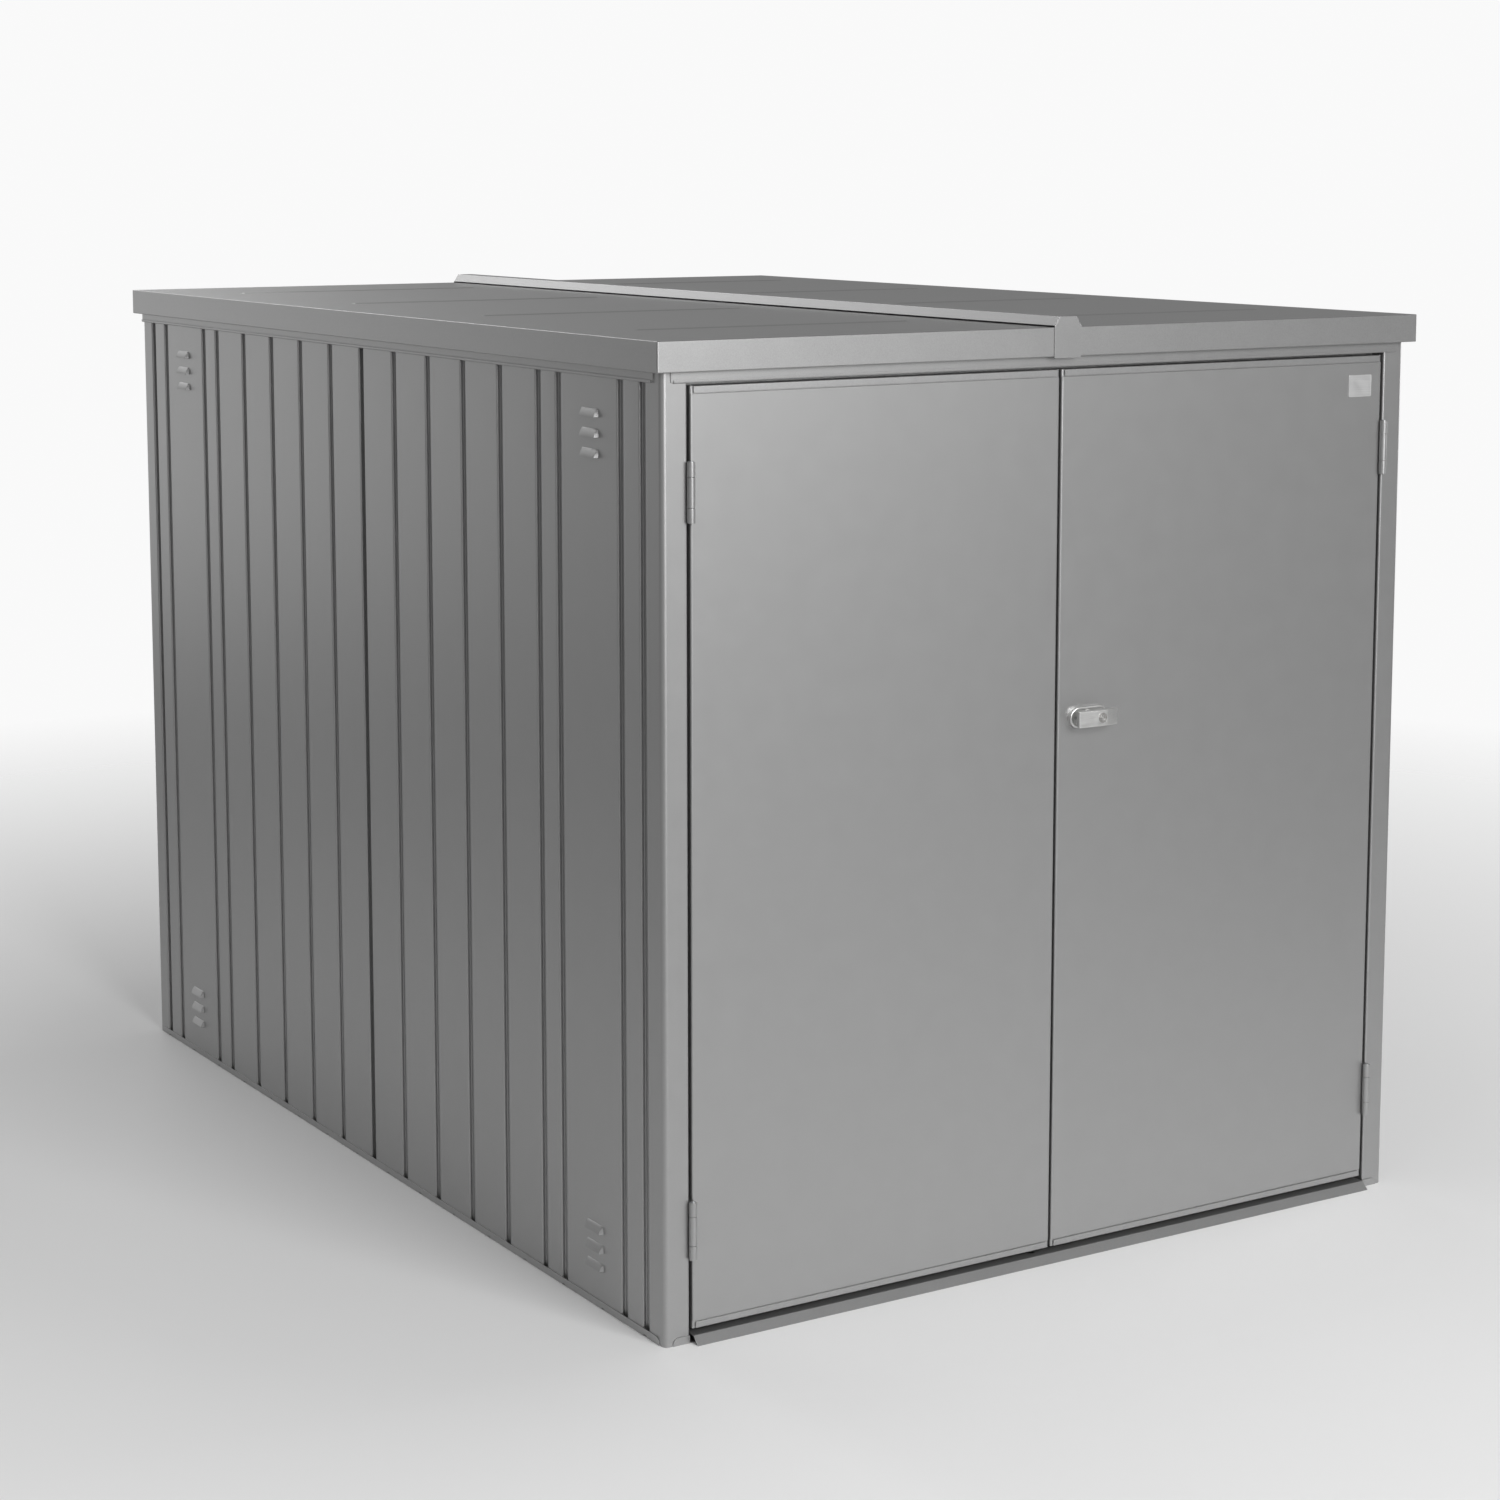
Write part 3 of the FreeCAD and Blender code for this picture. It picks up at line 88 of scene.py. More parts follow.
class ShellSizes(bpy.types.PropertyGroup):
    """Sizes of the walls, rails and roof."""

    body_width: length("Body width", "Outer width over the side walls", 2000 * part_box("post_front_right")[1].x)
    body_depth: length("Body depth", "Outer depth over the posts", 2000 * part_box("post_back_left")[1].y)
    roof_top: length("Roof height", "Height of the roof trays' top", 1482.5)
    overhang: length("Roof overhang", "How far the roof stands out over the walls", 15)
    skirt: length("Roof skirt", "Height of the roof trays' skirt", 45)
    bead_height: length("Roof bead height", "How far a bead stands up over the tray", 1.6)
    bead_width: length("Roof bead width", "Width of a bead at its foot", 17)
    ridge_width: length("Ridge cap width", "Width of the ridge cap at its foot", 51)
    ridge_crown: length("Ridge crown width", "Width of the ridge cap's flat top", 31)
    ridge_rise: length("Ridge rise", "Height of the ridge cap over the roof trays", 16.5)
    rail_drop: length("Rail drop", "From the roof's top down to the top rails' lower edge", 61.5)
    hem: length("Hem", "Height of the hem at the top rails' lower edge", 4.5)
    groove_width: length("Groove width", "Width of a wall groove at the face", 17)
    groove_depth: length("Groove depth", "Depth of a wall groove", 6.2)
    corner_radius: length("Corner radius", "Radius of the corner posts' outer corner", 8)
    hood_length: length("Hood length", "Length of a vent hood", 49.5)
    hood_height: length("Hood height", "Height of a vent hood", 13)
    hood_proud: length("Hood projection", "How far a vent hood stands out", 7)
    hood_pitch: length("Hood pitch", "Distance between vent hoods", 30)
    base_lip: length("Base lip", "Height of the base rails' outer lip", 12)
    sheet: length("Panel sheet", "Thickness of the panels' sheet", 1.0)
    frame_sheet: length("Frame sheet", "Thickness of the posts' and rails' sheet", 1.5)


class DoorSizes(bpy.types.PropertyGroup):
    """Sizes of the doors and hinges."""

    edge: length("Hinge edge", "From the middle to a door's hinge edge", 662)
    meet: length("Meeting edge", "From the middle to a door's meeting edge", 2.1)
    bottom: length("Bottom edge", "Height of a door's bottom edge", 1000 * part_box("left_door_bottom_cap")[0].z)
    top: length("Top edge", "Height of a door's top edge", 1000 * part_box("left_door_top_cap")[1].z)
    thick: length("Thickness", "Depth of a door's folded edge", 25)
    cap_lip: length("Cap lip", "Height of the lip over a door's face", 10)
    hinge_length: length("Hinge length", "Length of a hinge barrel", 88)
    knuckle_radius: length("Knuckle radius", "Radius of a hinge barrel", 6)
    hat_width: length("Stiffener width", "Width of a door's cross stiffener", 60)
    badge_width: length("Badge plate width", "Width of the bare badge plate", 49)
    badge_height: length("Badge plate height", "Height of the bare badge plate", 36)


class LockSizes(bpy.types.PropertyGroup):
    """Sizes of the handle, the lock and its rods."""

    lock_x: length("Spindle place", "From the middle to the handle's spindle", 58)
    lock_z: length("Spindle height", "Height of the handle's spindle", 872.5)
    plate_length: length("Plate length", "Length of the handle's backplate", 73)
    plate_height: length("Plate height", "Height of the handle's backplate", 34)
    plate_thick: length("Plate thickness", "Thickness of the handle's backplate", 8)
    bar_height: length("Bar height", "Height of the handle bar", 26)
    bar_thick: length("Bar thickness", "Thickness of the handle bar at its ridge", 8)
    bar_gap: length("Bar gap", "From the handle's backplate to the bar", 13)
    plug_radius: length("Plug radius", "Radius of the key plug", 8.5)
    plug_offset: length("Plug offset", "From the spindle to the key plug", 11)
    cam_radius: length("Cam radius", "Radius of the cam disc", 20)
    rod_width: length("Rod width", "Width of a locking rod", 19)


class FinishSettings(bpy.types.PropertyGroup):
    """Colours and gloss of the finishes."""

    paint_light: colour("Paint, light", "Light flakes of the metallic powder coat", 0.45)
    paint_dark: colour("Paint, dark", "Ground between the flakes", 0.31)
    paint_roughness: factor("Paint roughness", "Roughness of the powder coat", 0.38)
    paint_metal: factor("Paint metal", "How metallic the powder coat is", 0.80)
    zinc: colour("Zinc", "Colour of the zinc plating", 0.56, 0.57, 0.58)
    stainless: colour("Stainless steel", "Colour of the satin stainless steel", 0.80, 0.80, 0.79)
    nickel: colour("Nickel", "Colour of the key plug", 0.72, 0.71, 0.69)
    aluminium: colour("Aluminium", "Colour of the bare badge plate", 0.80)
    nylon: colour("Nylon", "Colour of the rod guides", 0.035, 0.035, 0.038)


class StudioSettings(bpy.types.PropertyGroup):
    """Floor, lights and camera."""

    floor: colour("Floor", "Colour of the pale floor", 0.93)
    backdrop: amount("Backdrop", "Brightness of the backdrop as seen", 0.95)
    ambient: amount("Ambient", "Brightness of the room's light", 0.33)
    front: amount("Front light", "Power of the light in front of the doors", 570.0, "POWER")
    key: amount("Key light", "Power of the lower light at the front right", 38.0, "POWER")
    high: amount("High light", "Power of the high light at the back left", 28.0, "POWER")
    corner: amount("Corner light", "Power of the tall light at the front left", 22.0, "POWER")
    right: amount("Right light", "Power of the light on the right", 150.0, "POWER")
    back: amount("Back light", "Power of the high light at the back", 113.0, "POWER")
    left: amount("Left light", "Power of the low light at the back left", 27.0, "POWER")
    focal: amount("Focal length", "Camera focal length in millimetres", 74.743)


def sizes(scene):
    """Every length of the locker's three size groups in millimetres, by name, and where its outer faces lie."""
    groups = (scene.locker_shell, scene.locker_doors, scene.locker_lock)
    found = {name: getattr(group, name) / MM for group in groups for name in group.__class__.__annotations__}
    half, deep = found["body_width"] / 2, found["body_depth"] / 2
    return SimpleNamespace(**found, side=-half, half=half, face=-deep, back=deep)


# ------------------------------------------------------------------ surfaces

class Skin:
    """Closed surface: points in millimetres, with the quads, triangles and flat caps between them."""

    def __init__(self, points, quads=(), triangles=(), caps=()):
        self.points = np.asarray(points, float).reshape(-1, 3)
        self.quads = np.asarray(quads, int).reshape(-1, 4)
        self.triangles = np.asarray(triangles, int).reshape(-1, 3)
        self.caps = [np.asarray(cap, int) for cap in caps]

    def turned_round(self):
        """The same surface with every face seen from its other side."""
        return Skin(self.points, self.quads[:, ::-1], self.triangles[:, ::-1], [cap[::-1] for cap in self.caps])

    def outward(self):
        """The surface with its faces outwards: the sum of every triangle's triple product is its volume, times six."""
        fans = [self.triangles, self.quads[:, [0, 1, 2]], self.quads[:, [0, 2, 3]]]
        fans += [np.stack([np.full(len(cap) - 2, cap[0]), cap[1:-1], cap[2:]], 1) for cap in self.caps]
        corners = self.points[np.concatenate(fans)]
        volume = np.einsum("ij,ij->", corners[:, 0], np.cross(corners[:, 1], corners[:, 2]))
        return self if volume > 0 else self.turned_round()

    def moved(self, x=0.0, y=0.0, z=0.0):
        """The surface shifted."""
        return Skin(self.points + np.array([x, y, z]), self.quads, self.triangles, self.caps)

    def mirrored(self, axis):
        """The surface on the other side of the middle plane across the axis."""
        flip = np.where(np.arange(3) == "xyz".index(axis), -1.0, 1.0)
        return Skin(self.points * flip, self.quads, self.triangles, self.caps).turned_round()


def joined(*skins):
    """One surface from surfaces that touch along their rims.

    Points at the same place become one, the two rims that face each other there are left out, and a quad that
    has lost a side becomes a triangle.
    """
    points = np.concatenate([skin.points for skin in skins])
    starts = np.cumsum([0] + [len(skin.points) for skin in skins])
    _, first, same = np.unique(np.round(points, 4), axis=0, return_index=True, return_inverse=True)
    same = same.reshape(-1)
    quads = same[np.concatenate([skin.quads + start for skin, start in zip(skins, starts)])]
    triangles = [same[np.concatenate([skin.triangles + start for skin, start in zip(skins, starts)])]]
    caps = [same[cap + start] for skin, start in zip(skins, starts) for cap in skin.caps]
    for side in range(4):
        lost = quads[:, side] == quads[:, (side + 1) % 4]
        triangles.append(np.delete(quads[lost], side, axis=1))
        quads = quads[~lost]
    _, place, count = np.unique(np.sort(quads, axis=1), axis=0, return_index=True, return_counts=True)
    quads = quads[place[count == 1]]
    triangles = np.concatenate(triangles)
    whole = (triangles != np.roll(triangles, 1, axis=1)).all(axis=1)
    return Skin(points[first], quads, triangles[whole], caps)


def grid_cells(index):
    """Quads between the rows and columns of a grid of point numbers."""
    return np.stack([index[:-1, :-1], index[1:, :-1], index[1:, 1:], index[:-1, 1:]], -1)


def shell(outer, inner, kept=None):
    """Sheet between two grids of matching points, each (n, m, 3).

    Where a cell is kept and its neighbour isn't, a rim quad joins the two grids.
    """
    n, m = outer.shape[:2]
    kept = np.ones((n - 1, m - 1), bool) if kept is None else kept
    index = np.arange(n * m).reshape(n, m)
    cells = grid_cells(index)
    around = np.pad(kept, 1)
    quads = [cells[kept], cells[kept][:, ::-1] + n * m]
    for corner, (di, dj) in enumerate(((0, -1), (1, 0), (0, 1), (-1, 0))):
        bare = kept & ~around[1 + di : n + di, 1 + dj : m + dj]
        start, end = cells[bare][:, corner], cells[bare][:, (corner + 1) % 4]
        quads.append(np.stack([end, start, start + n * m, end + n * m], -1))
    quads = np.concatenate(quads)
    used, quads = np.unique(quads, return_inverse=True)
    points = np.concatenate([outer.reshape(-1, 3), inner.reshape(-1, 3)])
    return Skin(points[used], quads.reshape(-1, 4)).outward()


def loft(rings, closed=False):
    """Surface through rings of points (n, m, 3), with flat caps on the first and last, or closed on itself."""
    n, m = rings.shape[:2]
    index = np.arange(n * m).reshape(n, m)
    rows = np.concatenate([index, index[:1]]) if closed else index
    rows = np.concatenate([rows, rows[:, :1]], axis=1)
    caps = [] if closed else [index[0], index[-1][::-1]]
    return Skin(rings.reshape(-1, 3), grid_cells(rows), caps=caps).outward()


def placed(first, second, third, axes):
    """Points from three broadcast coordinates, in the order of the axes' letters, such as "xzy"."""
    parts = dict(zip(axes, np.broadcast_arrays(first, second, third)))
    return np.stack([parts["x"], parts["y"], parts["z"]], -1).astype(float)


def fold(corners, thickness, bend=1.5, special=None, steps=5):
    """Section of a folded sheet: its outer line, and its inner line on the right of the way it runs.

    At each corner an arc touches both runs. Its centre lies on the corner's bisector at the bend's radius from
    both, its points are the centre plus the radius times a unit vector that turns evenly from one run's normal
    to the next, and the inner line is the outer one moved by the sheet's thickness against that vector.
    """
    corners = np.asarray(corners, float)
    run = np.diff(corners, axis=0)
    run /= np.linalg.norm(run, axis=1, keepdims=True)
    left = np.stack([-run[:, 1], run[:, 0]], 1)
    before, after = left[:-1], left[1:]
    turn = np.arctan2(before[:, 0] * after[:, 1] - before[:, 1] * after[:, 0], (before * after).sum(1))
    radius = np.where(turn < 0, bend + thickness, bend)
    for place, value in (special or {}).items():
        radius[place - 1] = value
    side = (np.sign(turn) * radius)[:, None]
    centre = corners[1:-1] + side * (before + after) / (1 + (before * after).sum(1, keepdims=True))
    angle = np.arctan2(before[:, 1], before[:, 0])[:, None] + turn[:, None] * np.linspace(0, 1, steps)
    normal = np.stack([np.cos(angle), np.sin(angle)], -1)
    arcs = centre[:, None] - side[:, None] * normal
    outer = np.concatenate([corners[:1], arcs.reshape(-1, 2), corners[-1:]])
    normals = np.concatenate([left[:1], normal.reshape(-1, 2), left[-1:]])
    return outer, outer - thickness * normals


def spread(section, levels, axes):
    """Grids of a folded section's outer and inner line, carried straight along the third axis through the levels."""
    return [placed(line[:, :1], line[:, 1:], np.asarray(levels, float)[None], axes) for line in section]


def carried(section, levels, axes, kept=None):
    """Sheet from a folded section carried through the levels."""
    return shell(*spread(section, levels, axes), kept)


def rounded(corners, radii, steps=6):
    """Closed outline with an arc at every corner, and its outward normals. The corners run anticlockwise."""
    corners = np.asarray(corners, float)
    ring = np.concatenate([corners[-1:], corners, corners[:1]])
    radii = np.broadcast_to(radii, len(corners))
    line, moved = fold(ring, -1.0, special=dict(enumerate(radii, 1)), steps=steps)
    return line[1:-1], (line - moved)[1:-1]


def rims(low, high, radius, steps=4):
    """Section of a slab with rounded rims as (inset, level) pairs: a quarter circle at both ends."""
    turn = np.linspace(0, np.pi / 2, steps)
    inset, rise = radius * (1 - np.sin(turn)), radius * (1 - np.cos(turn))
    return np.concatenate([np.stack([inset, low + rise], 1), np.stack([inset, high - rise], 1)[::-1]])


def slab(outline, section, axes):
    """Solid with the outline: at each (inset, level) of the section the outline moves in along its normals."""
    line, normals = outline
    inset, level = np.asarray(section, float).T
    ring = line[None] - inset[:, None, None] * normals[None]
    return loft(placed(ring[..., 0], ring[..., 1], level[:, None], axes))


def rectangle(x, y, radius, steps=5):
    """Rounded rectangle between two values on each axis."""
    (x0, x1), (y0, y1) = x, y
    return rounded([(x0, y0), (x1, y0), (x1, y1), (x0, y1)], radius, steps)


def block(x, y, z, radius=0.5, steps=3):
    """Rectangular solid with all its edges rounded."""
    return slab(rectangle(x, y, radius, steps), rims(*z, radius, steps), "xyz")


def turned(profile, centre, axes="xyz", steps=48, closed=False):
    """Surface of revolution: each (radius, level) of the profile swept round the centre."""
    radius, level = np.asarray(profile, float).T
    angle = np.linspace(0, 2 * np.pi, steps, endpoint=False)
    first = centre[0] + radius[:, None] * np.cos(angle)
    second = centre[1] + radius[:, None] * np.sin(angle)
    return loft(placed(first, second, level[:, None], axes), closed)


def pulled_round(first, second, centre, radius, reach):
    """Grid coordinates with the square of half-width radius about the centre pulled to a circle.

    A point's square distance from the centre is the larger of its two offsets. At that distance times its
    direction it lies on a circle, and from the radius out to the reach it goes back to its own place.
    """
    u, v = first - centre[0], second - centre[1]
    square = np.maximum(abs(u), abs(v))
    direct = np.hypot(u, v) + 1e-9
    pull = np.clip((reach - square) / (reach - radius), 0, 1)
    scale = 1 - pull + pull * square / direct
    return centre[0] + u * scale, centre[1] + v * scale


def stations(*runs):
    """Sorted places with no two closer than a thousandth."""
    return np.unique(np.round(np.concatenate([np.atleast_1d(run) for run in runs]), 3))


HOLE_REACH = 9  # half-width of the patch of a grid that gives way to a round hole, in millimetres


def hole_stations(centre, radius):
    """Places across a round hole and the patch about it."""
    across = np.linspace(centre - radius, centre + radius, 7)
    return np.concatenate([[centre - HOLE_REACH], across, [centre + HOLE_REACH]])


def bore(grid, rows, levels, middle, centre, radius):
    """Pulls a grid's flat rows to the circle of a round hole, in place. Its middle is its place along the levels."""
    x, y = grid[rows, :, 0], grid[rows, :, 1]
    near = abs(levels - middle) <= HOLE_REACH + 0.001
    pulled = pulled_round(x, y, centre, radius, HOLE_REACH)
    grid[rows, :, 0], grid[rows, :, 1] = (np.where(near, new, old) for new, old in zip(pulled, (x, y)))


def pairs(first, second):
    """Points from two broadcast coordinates."""
    return np.stack(np.broadcast_arrays(first, second), -1)


def widened(section, spot, *runs):
    """Folded section with more points in one flat run: both lines' first and second coordinates there."""
    return [np.insert(line, spot, pairs(*run), axis=0) for line, run in zip(section, runs)]


def all_cells(line, levels):
    """Marks for the cells between a section's points and the levels, every one kept."""
    return np.ones((len(line) - 1, len(levels) - 1), bool)


def inside(places, low, high):
    """Marks the cells between neighbouring places whose middle lies between two values."""
    middle = (places[1:] + places[:-1]) / 2
    return (middle > low) & (middle < high)


def round_rims(thing, width):
    """Modifier that rounds the sharp edges of an object by a width in millimetres."""
    rounding = thing.modifiers.new("rounded_rims", "BEVEL")
    rounding.width = width * MM
    rounding.segments = 2
    rounding.limit_method = "ANGLE"
    rounding.angle_limit = np.radians(40)
    return rounding


def piece(name, skins, body="cabinet", slot="silver_paint", rim=0.15):
    """Blender object from surfaces, in its finish, riding on its body and standing for the CAD node of its name."""
    points = np.concatenate([skin.points for skin in skins]) * MM
    starts = np.cumsum([0] + [len(skin.points) for skin in skins])
    faces = []
    for skin, start in zip(skins, starts):
        for part in (skin.quads, skin.triangles, *skin.caps):
            faces += (np.atleast_2d(part) + start).tolist() if len(part) else []
    mesh = bpy.data.meshes.new(name)
    mesh.from_pydata(points, [], faces)
    if mesh.validate():
        raise RuntimeError("the mesh of " + name + " has a fault")
    mesh.polygons.foreach_set("use_smooth", np.ones(len(faces), bool))
    mesh.set_sharp_from_angle(angle=np.radians(30))
    thing = bpy.data.objects.new(name, mesh)
    bpy.context.scene.collection.objects.link(thing)
    mesh.materials.append(bpy.data.materials[slot + "_finish"])
    if rim:
        round_rims(thing, rim).use_clamp_overlap = False
    facing = thing.modifiers.new("flat_faces", "WEIGHTED_NORMAL")
    facing.keep_sharp = True
    facing.weight = 100
    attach(thing, body)
    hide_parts(name)


# ------------------------------------------------------------------ finishes

def maths(bench, operation, first, second=0.0):
    """Math node between two numbers or values."""
    return bench.node("ShaderNodeMath", {"operation": operation}, {0: first, 1: second})


def both_ways(operation):
    """Two methods for one sign of arithmetic: with the value on its left and, reflected, on its right."""
    return (
        lambda self, other: maths(self.bench, operation, self, other),
        lambda self, other: maths(self.bench, operation, other, self),
    )


class Value:
    """Output of a node. Python's arithmetic on it adds Math nodes."""

    def __init__(self, bench, socket):
        self.bench = bench
        self.socket = socket

    __add__, __radd__ = both_ways("ADD")
    __sub__, __rsub__ = both_ways("SUBTRACT")
    __mul__, __rmul__ = both_ways("MULTIPLY")
    __truediv__, __rtruediv__ = both_ways("DIVIDE")

    def wave(self):
        """Sine of the value."""
        return maths(self.bench, "SINE", self)

    def clipped(self):
        """The value kept between 0 and 1."""
        return maths(self.bench, "MINIMUM", maths(self.bench, "MAXIMUM", self), 1.0)


def shaded(tone, share):
    """A colour darkened or lightened to a share of itself."""
    return (*[share * part for part in tone[:3]], 1)


class Bench:
    """Node tree of one finish."""

    def __init__(self, name):
        self.material = bpy.data.materials.new(name)
        self.material.use_nodes = True
        self.tree = self.material.node_tree
        self.tree.nodes.clear()

    def node(self, kind, settings=None, inputs=None, output=0):
        """Adds a node: its settings first, then the values or links of its sockets. Returns one output."""
        made = self.tree.nodes.new(kind)
        for key, value in (settings or {}).items():
            setattr(made, key, value)
        for key, value in (inputs or {}).items():
            if isinstance(value, Value):
                self.tree.links.new(value.socket, made.inputs[key])
            else:
                made.inputs[key].default_value = value
        return Value(self, made.outputs[output])

    def place(self, scale=(1, 1, 1), shift=(0, 0, 0)):
        """Object coordinates, in metres, shifted and then scaled."""
        here = self.node("ShaderNodeTexCoord", output="Object")
        centred = self.node("ShaderNodeVectorMath", {"operation": "ADD"}, {0: here, 1: shift})
        return self.node("ShaderNodeVectorMath", {"operation": "MULTIPLY"}, {0: centred, 1: scale})

    def noise(self, place, scale, detail):
        """Noise around zero, from about -0.5 to 0.5."""
        return self.node("ShaderNodeTexNoise", {}, {"Vector": place, "Scale": scale, "Detail": detail}) - 0.5

    def mix(self, amount, first, second):
        """Colour between two colours."""
        return self.node("ShaderNodeMix", {"data_type": "RGBA"}, {0: amount, 6: first, 7: second}, 2)

    def bump(self, height, distance, **below):
        """Normal of a surface that the height raises by up to the distance, in metres, over the normal below."""
        return self.node("ShaderNodeBump", {}, {"Height": height, "Distance": distance, "Strength": 1.0, **below})

    def surface(self, **inputs):
        """Principled shader with the given sockets, as the material's surface."""
        named = {key.replace("_", " ").title(): value for key, value in inputs.items()}
        shader = self.node("ShaderNodeBsdfPrincipled", {}, named)
        end = self.tree.nodes.new("ShaderNodeOutputMaterial")
        self.tree.links.new(shader.socket, end.inputs["Surface"])
        return self.material


def silver_paint(look):
    """Silver metallic powder coat: flakes, faint cloudiness, orange peel and the slow waves of flat sheet."""
    bench = Bench("silver_paint_finish")
    place = bench.place()
    flakes = bench.noise(place, 1500, 0)
    clouds = bench.noise(place, 26, 3)
    peel = bench.noise(place, 380, 1)
    waves = bench.noise(bench.place((1, 1, 0.45)), 3.2, 1)
    tone = (0.5 + 0.9 * flakes + 0.14 * clouds).clipped()
    slow = bench.bump(waves, 0.0003)
    return bench.surface(
        base_color=bench.mix(tone, tuple(look.paint_dark), tuple(look.paint_light)),
        metallic=look.paint_metal,
        roughness=look.paint_roughness + 0.16 * flakes + 0.03 * clouds,
        normal=bench.bump(peel, 0.00002, Normal=slow),
    )


def zinc_steel(look):
    """Zinc plating: a soft spangle of large crystals, fine grain and duller patches."""
    bench = Bench("zinc_steel_finish")
    place = bench.place()
    cells = {"Vector": place, "Scale": 160.0, "Randomness": 1.0}
    crystal = bench.node("ShaderNodeTexVoronoi", {"feature": "F1"}, cells, "Color")
    shade = bench.node("ShaderNodeSeparateColor", {}, {"Color": crystal})
    grain = bench.noise(place, 900, 2)
    patches = bench.noise(place, 22, 3)
    tone = (0.55 + 0.3 * shade + 0.4 * grain + 0.5 * patches).clipped()
    return bench.surface(
        base_color=bench.mix(tone, shaded(look.zinc, 0.62), tuple(look.zinc)),
        metallic=1.0,
        roughness=0.34 + 0.12 * shade + 0.2 * patches,
        normal=bench.bump(grain, 0.00003),
    )


def brushed(bench, base, roughness):
    """Satin metal with long fine scratches across the locker."""
    scratches = bench.noise(bench.place((12.0, 1100.0, 1100.0)), 1.0, 3)
    smears = bench.noise(bench.place(), 60, 2)
    tone = (0.65 + 0.9 * scratches + 0.25 * smears).clipped()
    return bench.surface(
        base_color=bench.mix(tone, shaded(base, 0.72), tuple(base)),
        metallic=1.0,
        roughness=roughness + 0.18 * scratches + 0.1 * smears,
        normal=bench.bump(scratches, 0.00003),
    )


def stainless(look):
    """Satin stainless steel, brushed along the handle bar."""
    return brushed(Bench("stainless_finish"), look.stainless, 0.36)


def badge_aluminium(look):
    """Satin aluminium of the bare badge plate, brushed across."""
    return brushed(Bench("badge_aluminium_finish"), look.aluminium, 0.44)


def lock_metal(look, lock):
    """Nickel-plated key plug with turning marks: rings about the plug's axis."""
    bench = Bench("lock_metal_finish")
    centred = bench.place((1, 0, 1), (-(lock.lock_x + lock.plug_offset), 0, -lock.lock_z))
    reach = bench.node("ShaderNodeVectorMath", {"operation": "LENGTH"}, {0: centred}, "Value")
    rings = (reach * 22000).wave()
    stains = bench.noise(bench.place(), 300, 3)
    tone = (0.75 + 0.6 * stains + 0.08 * rings).clipped()
    return bench.surface(
        base_color=bench.mix(tone, shaded(look.nickel, 0.7), tuple(look.nickel)),
        metallic=1.0,
        roughness=0.24 + 0.12 * stains,
        normal=bench.bump(rings, 0.000012),
    )


def guide_plastic(look):
    """Black nylon with a fine spark-eroded grain and faint flow marks."""
    bench = Bench("guide_plastic_finish")
    place = bench.place()
    grain = bench.noise(place, 1300, 2)
    flow = bench.noise(bench.place((1, 1, 0.2)), 70, 3)
    tone = (0.4 + 0.6 * grain + 0.6 * flow).clipped()
    return bench.surface(
        base_color=bench.mix(tone, tuple(look.nylon), shaded(look.nylon, 2.1)),
        roughness=0.52 + 0.2 * grain,
        normal=bench.bump(grain, 0.00004),
    )


# ------------------------------------------------------------------ cabinet

FIRST_GROOVE = 54.5  # from a wall's end to the middle of its first groove, in millimetres
HOOD_END = 2.4  # length of the steep run at each end of a vent hood, in millimetres
HOOD_CURVE = 1.3  # exponent of a vent hood's section: 2 would be a circle, 1 a straight slope
SLIT = 0.3  # height of the row of cells left out below a vent hood's lip, in millimetres


def side_grooves(s):
    """Centres of the grooves of the front half of a side wall: the vent plank between two narrow ones, then five."""
    first = FIRST_GROOVE - s.back
    vents = [first, first + 64, first + 251.5, first + 315.5]
    planks = vents[-1] * (1 - np.arange(1, 5) / 5)
    return np.concatenate([vents, planks])


def back_grooves(s):
    """Centres of the grooves of the left half of the back wall, evenly spaced from the post to the middle."""
    return (FIRST_GROOVE - s.half) * (1 - np.arange(5) / 5)


def panel_section(grooves, s):
    """Section of a wall panel as (place, depth) corners: it starts in the floor of the groove beside the post."""
    half, deep = s.groove_width / 2, s.groove_depth
    beside = [(grooves[0] - half + 0.5, deep), (grooves[0] + half, deep), (grooves[0] + half, 0)]
    rest = [[(c - half, 0), (c - half, deep), (c + half, deep), (c + half, 0)] for c in grooves[1:]]
    return beside + sum(rest, []) + [(-half, 0), (-half, 13)]


def wall_ends(s):
    """Heights between which the walls and posts run: from inside the base rails to under the roof."""
    return s.frame_sheet, s.roof_top - 4


def upright(section, s):
    """Folded section carried up over the walls' height."""
    return carried(section, wall_ends(s), "xyz")


def hood_tops(s):
    """Heights of the vent hoods' tops: three below the roof, three over the ground."""
    rows = np.arange(3) * s.hood_pitch
    return np.concatenate([s.roof_top - 108 - rows, 131.5 - rows])


def hood_rise(along, height, s):
    """How far a vent hood lifts the wall at each point.

    Down from its top the hood's section is a quarter of a superellipse that ends upright at the open lip. At both
    ends the section shrinks to nothing over a short steep run.
    """
    lift = np.zeros(np.broadcast_shapes(along.shape, height.shape))
    full = np.clip((s.hood_length / 2 - abs(along)) / HOOD_END, 0, 1)
    for top in hood_tops(s):
        down = (top - height) / s.hood_height
        arch = s.hood_proud * (1 - np.clip(1 - down, 0, 1) ** HOOD_CURVE) ** (1 / HOOD_CURVE)
        lift = np.where((down > 0) & (down <= 1), full * arch, lift)
    return lift


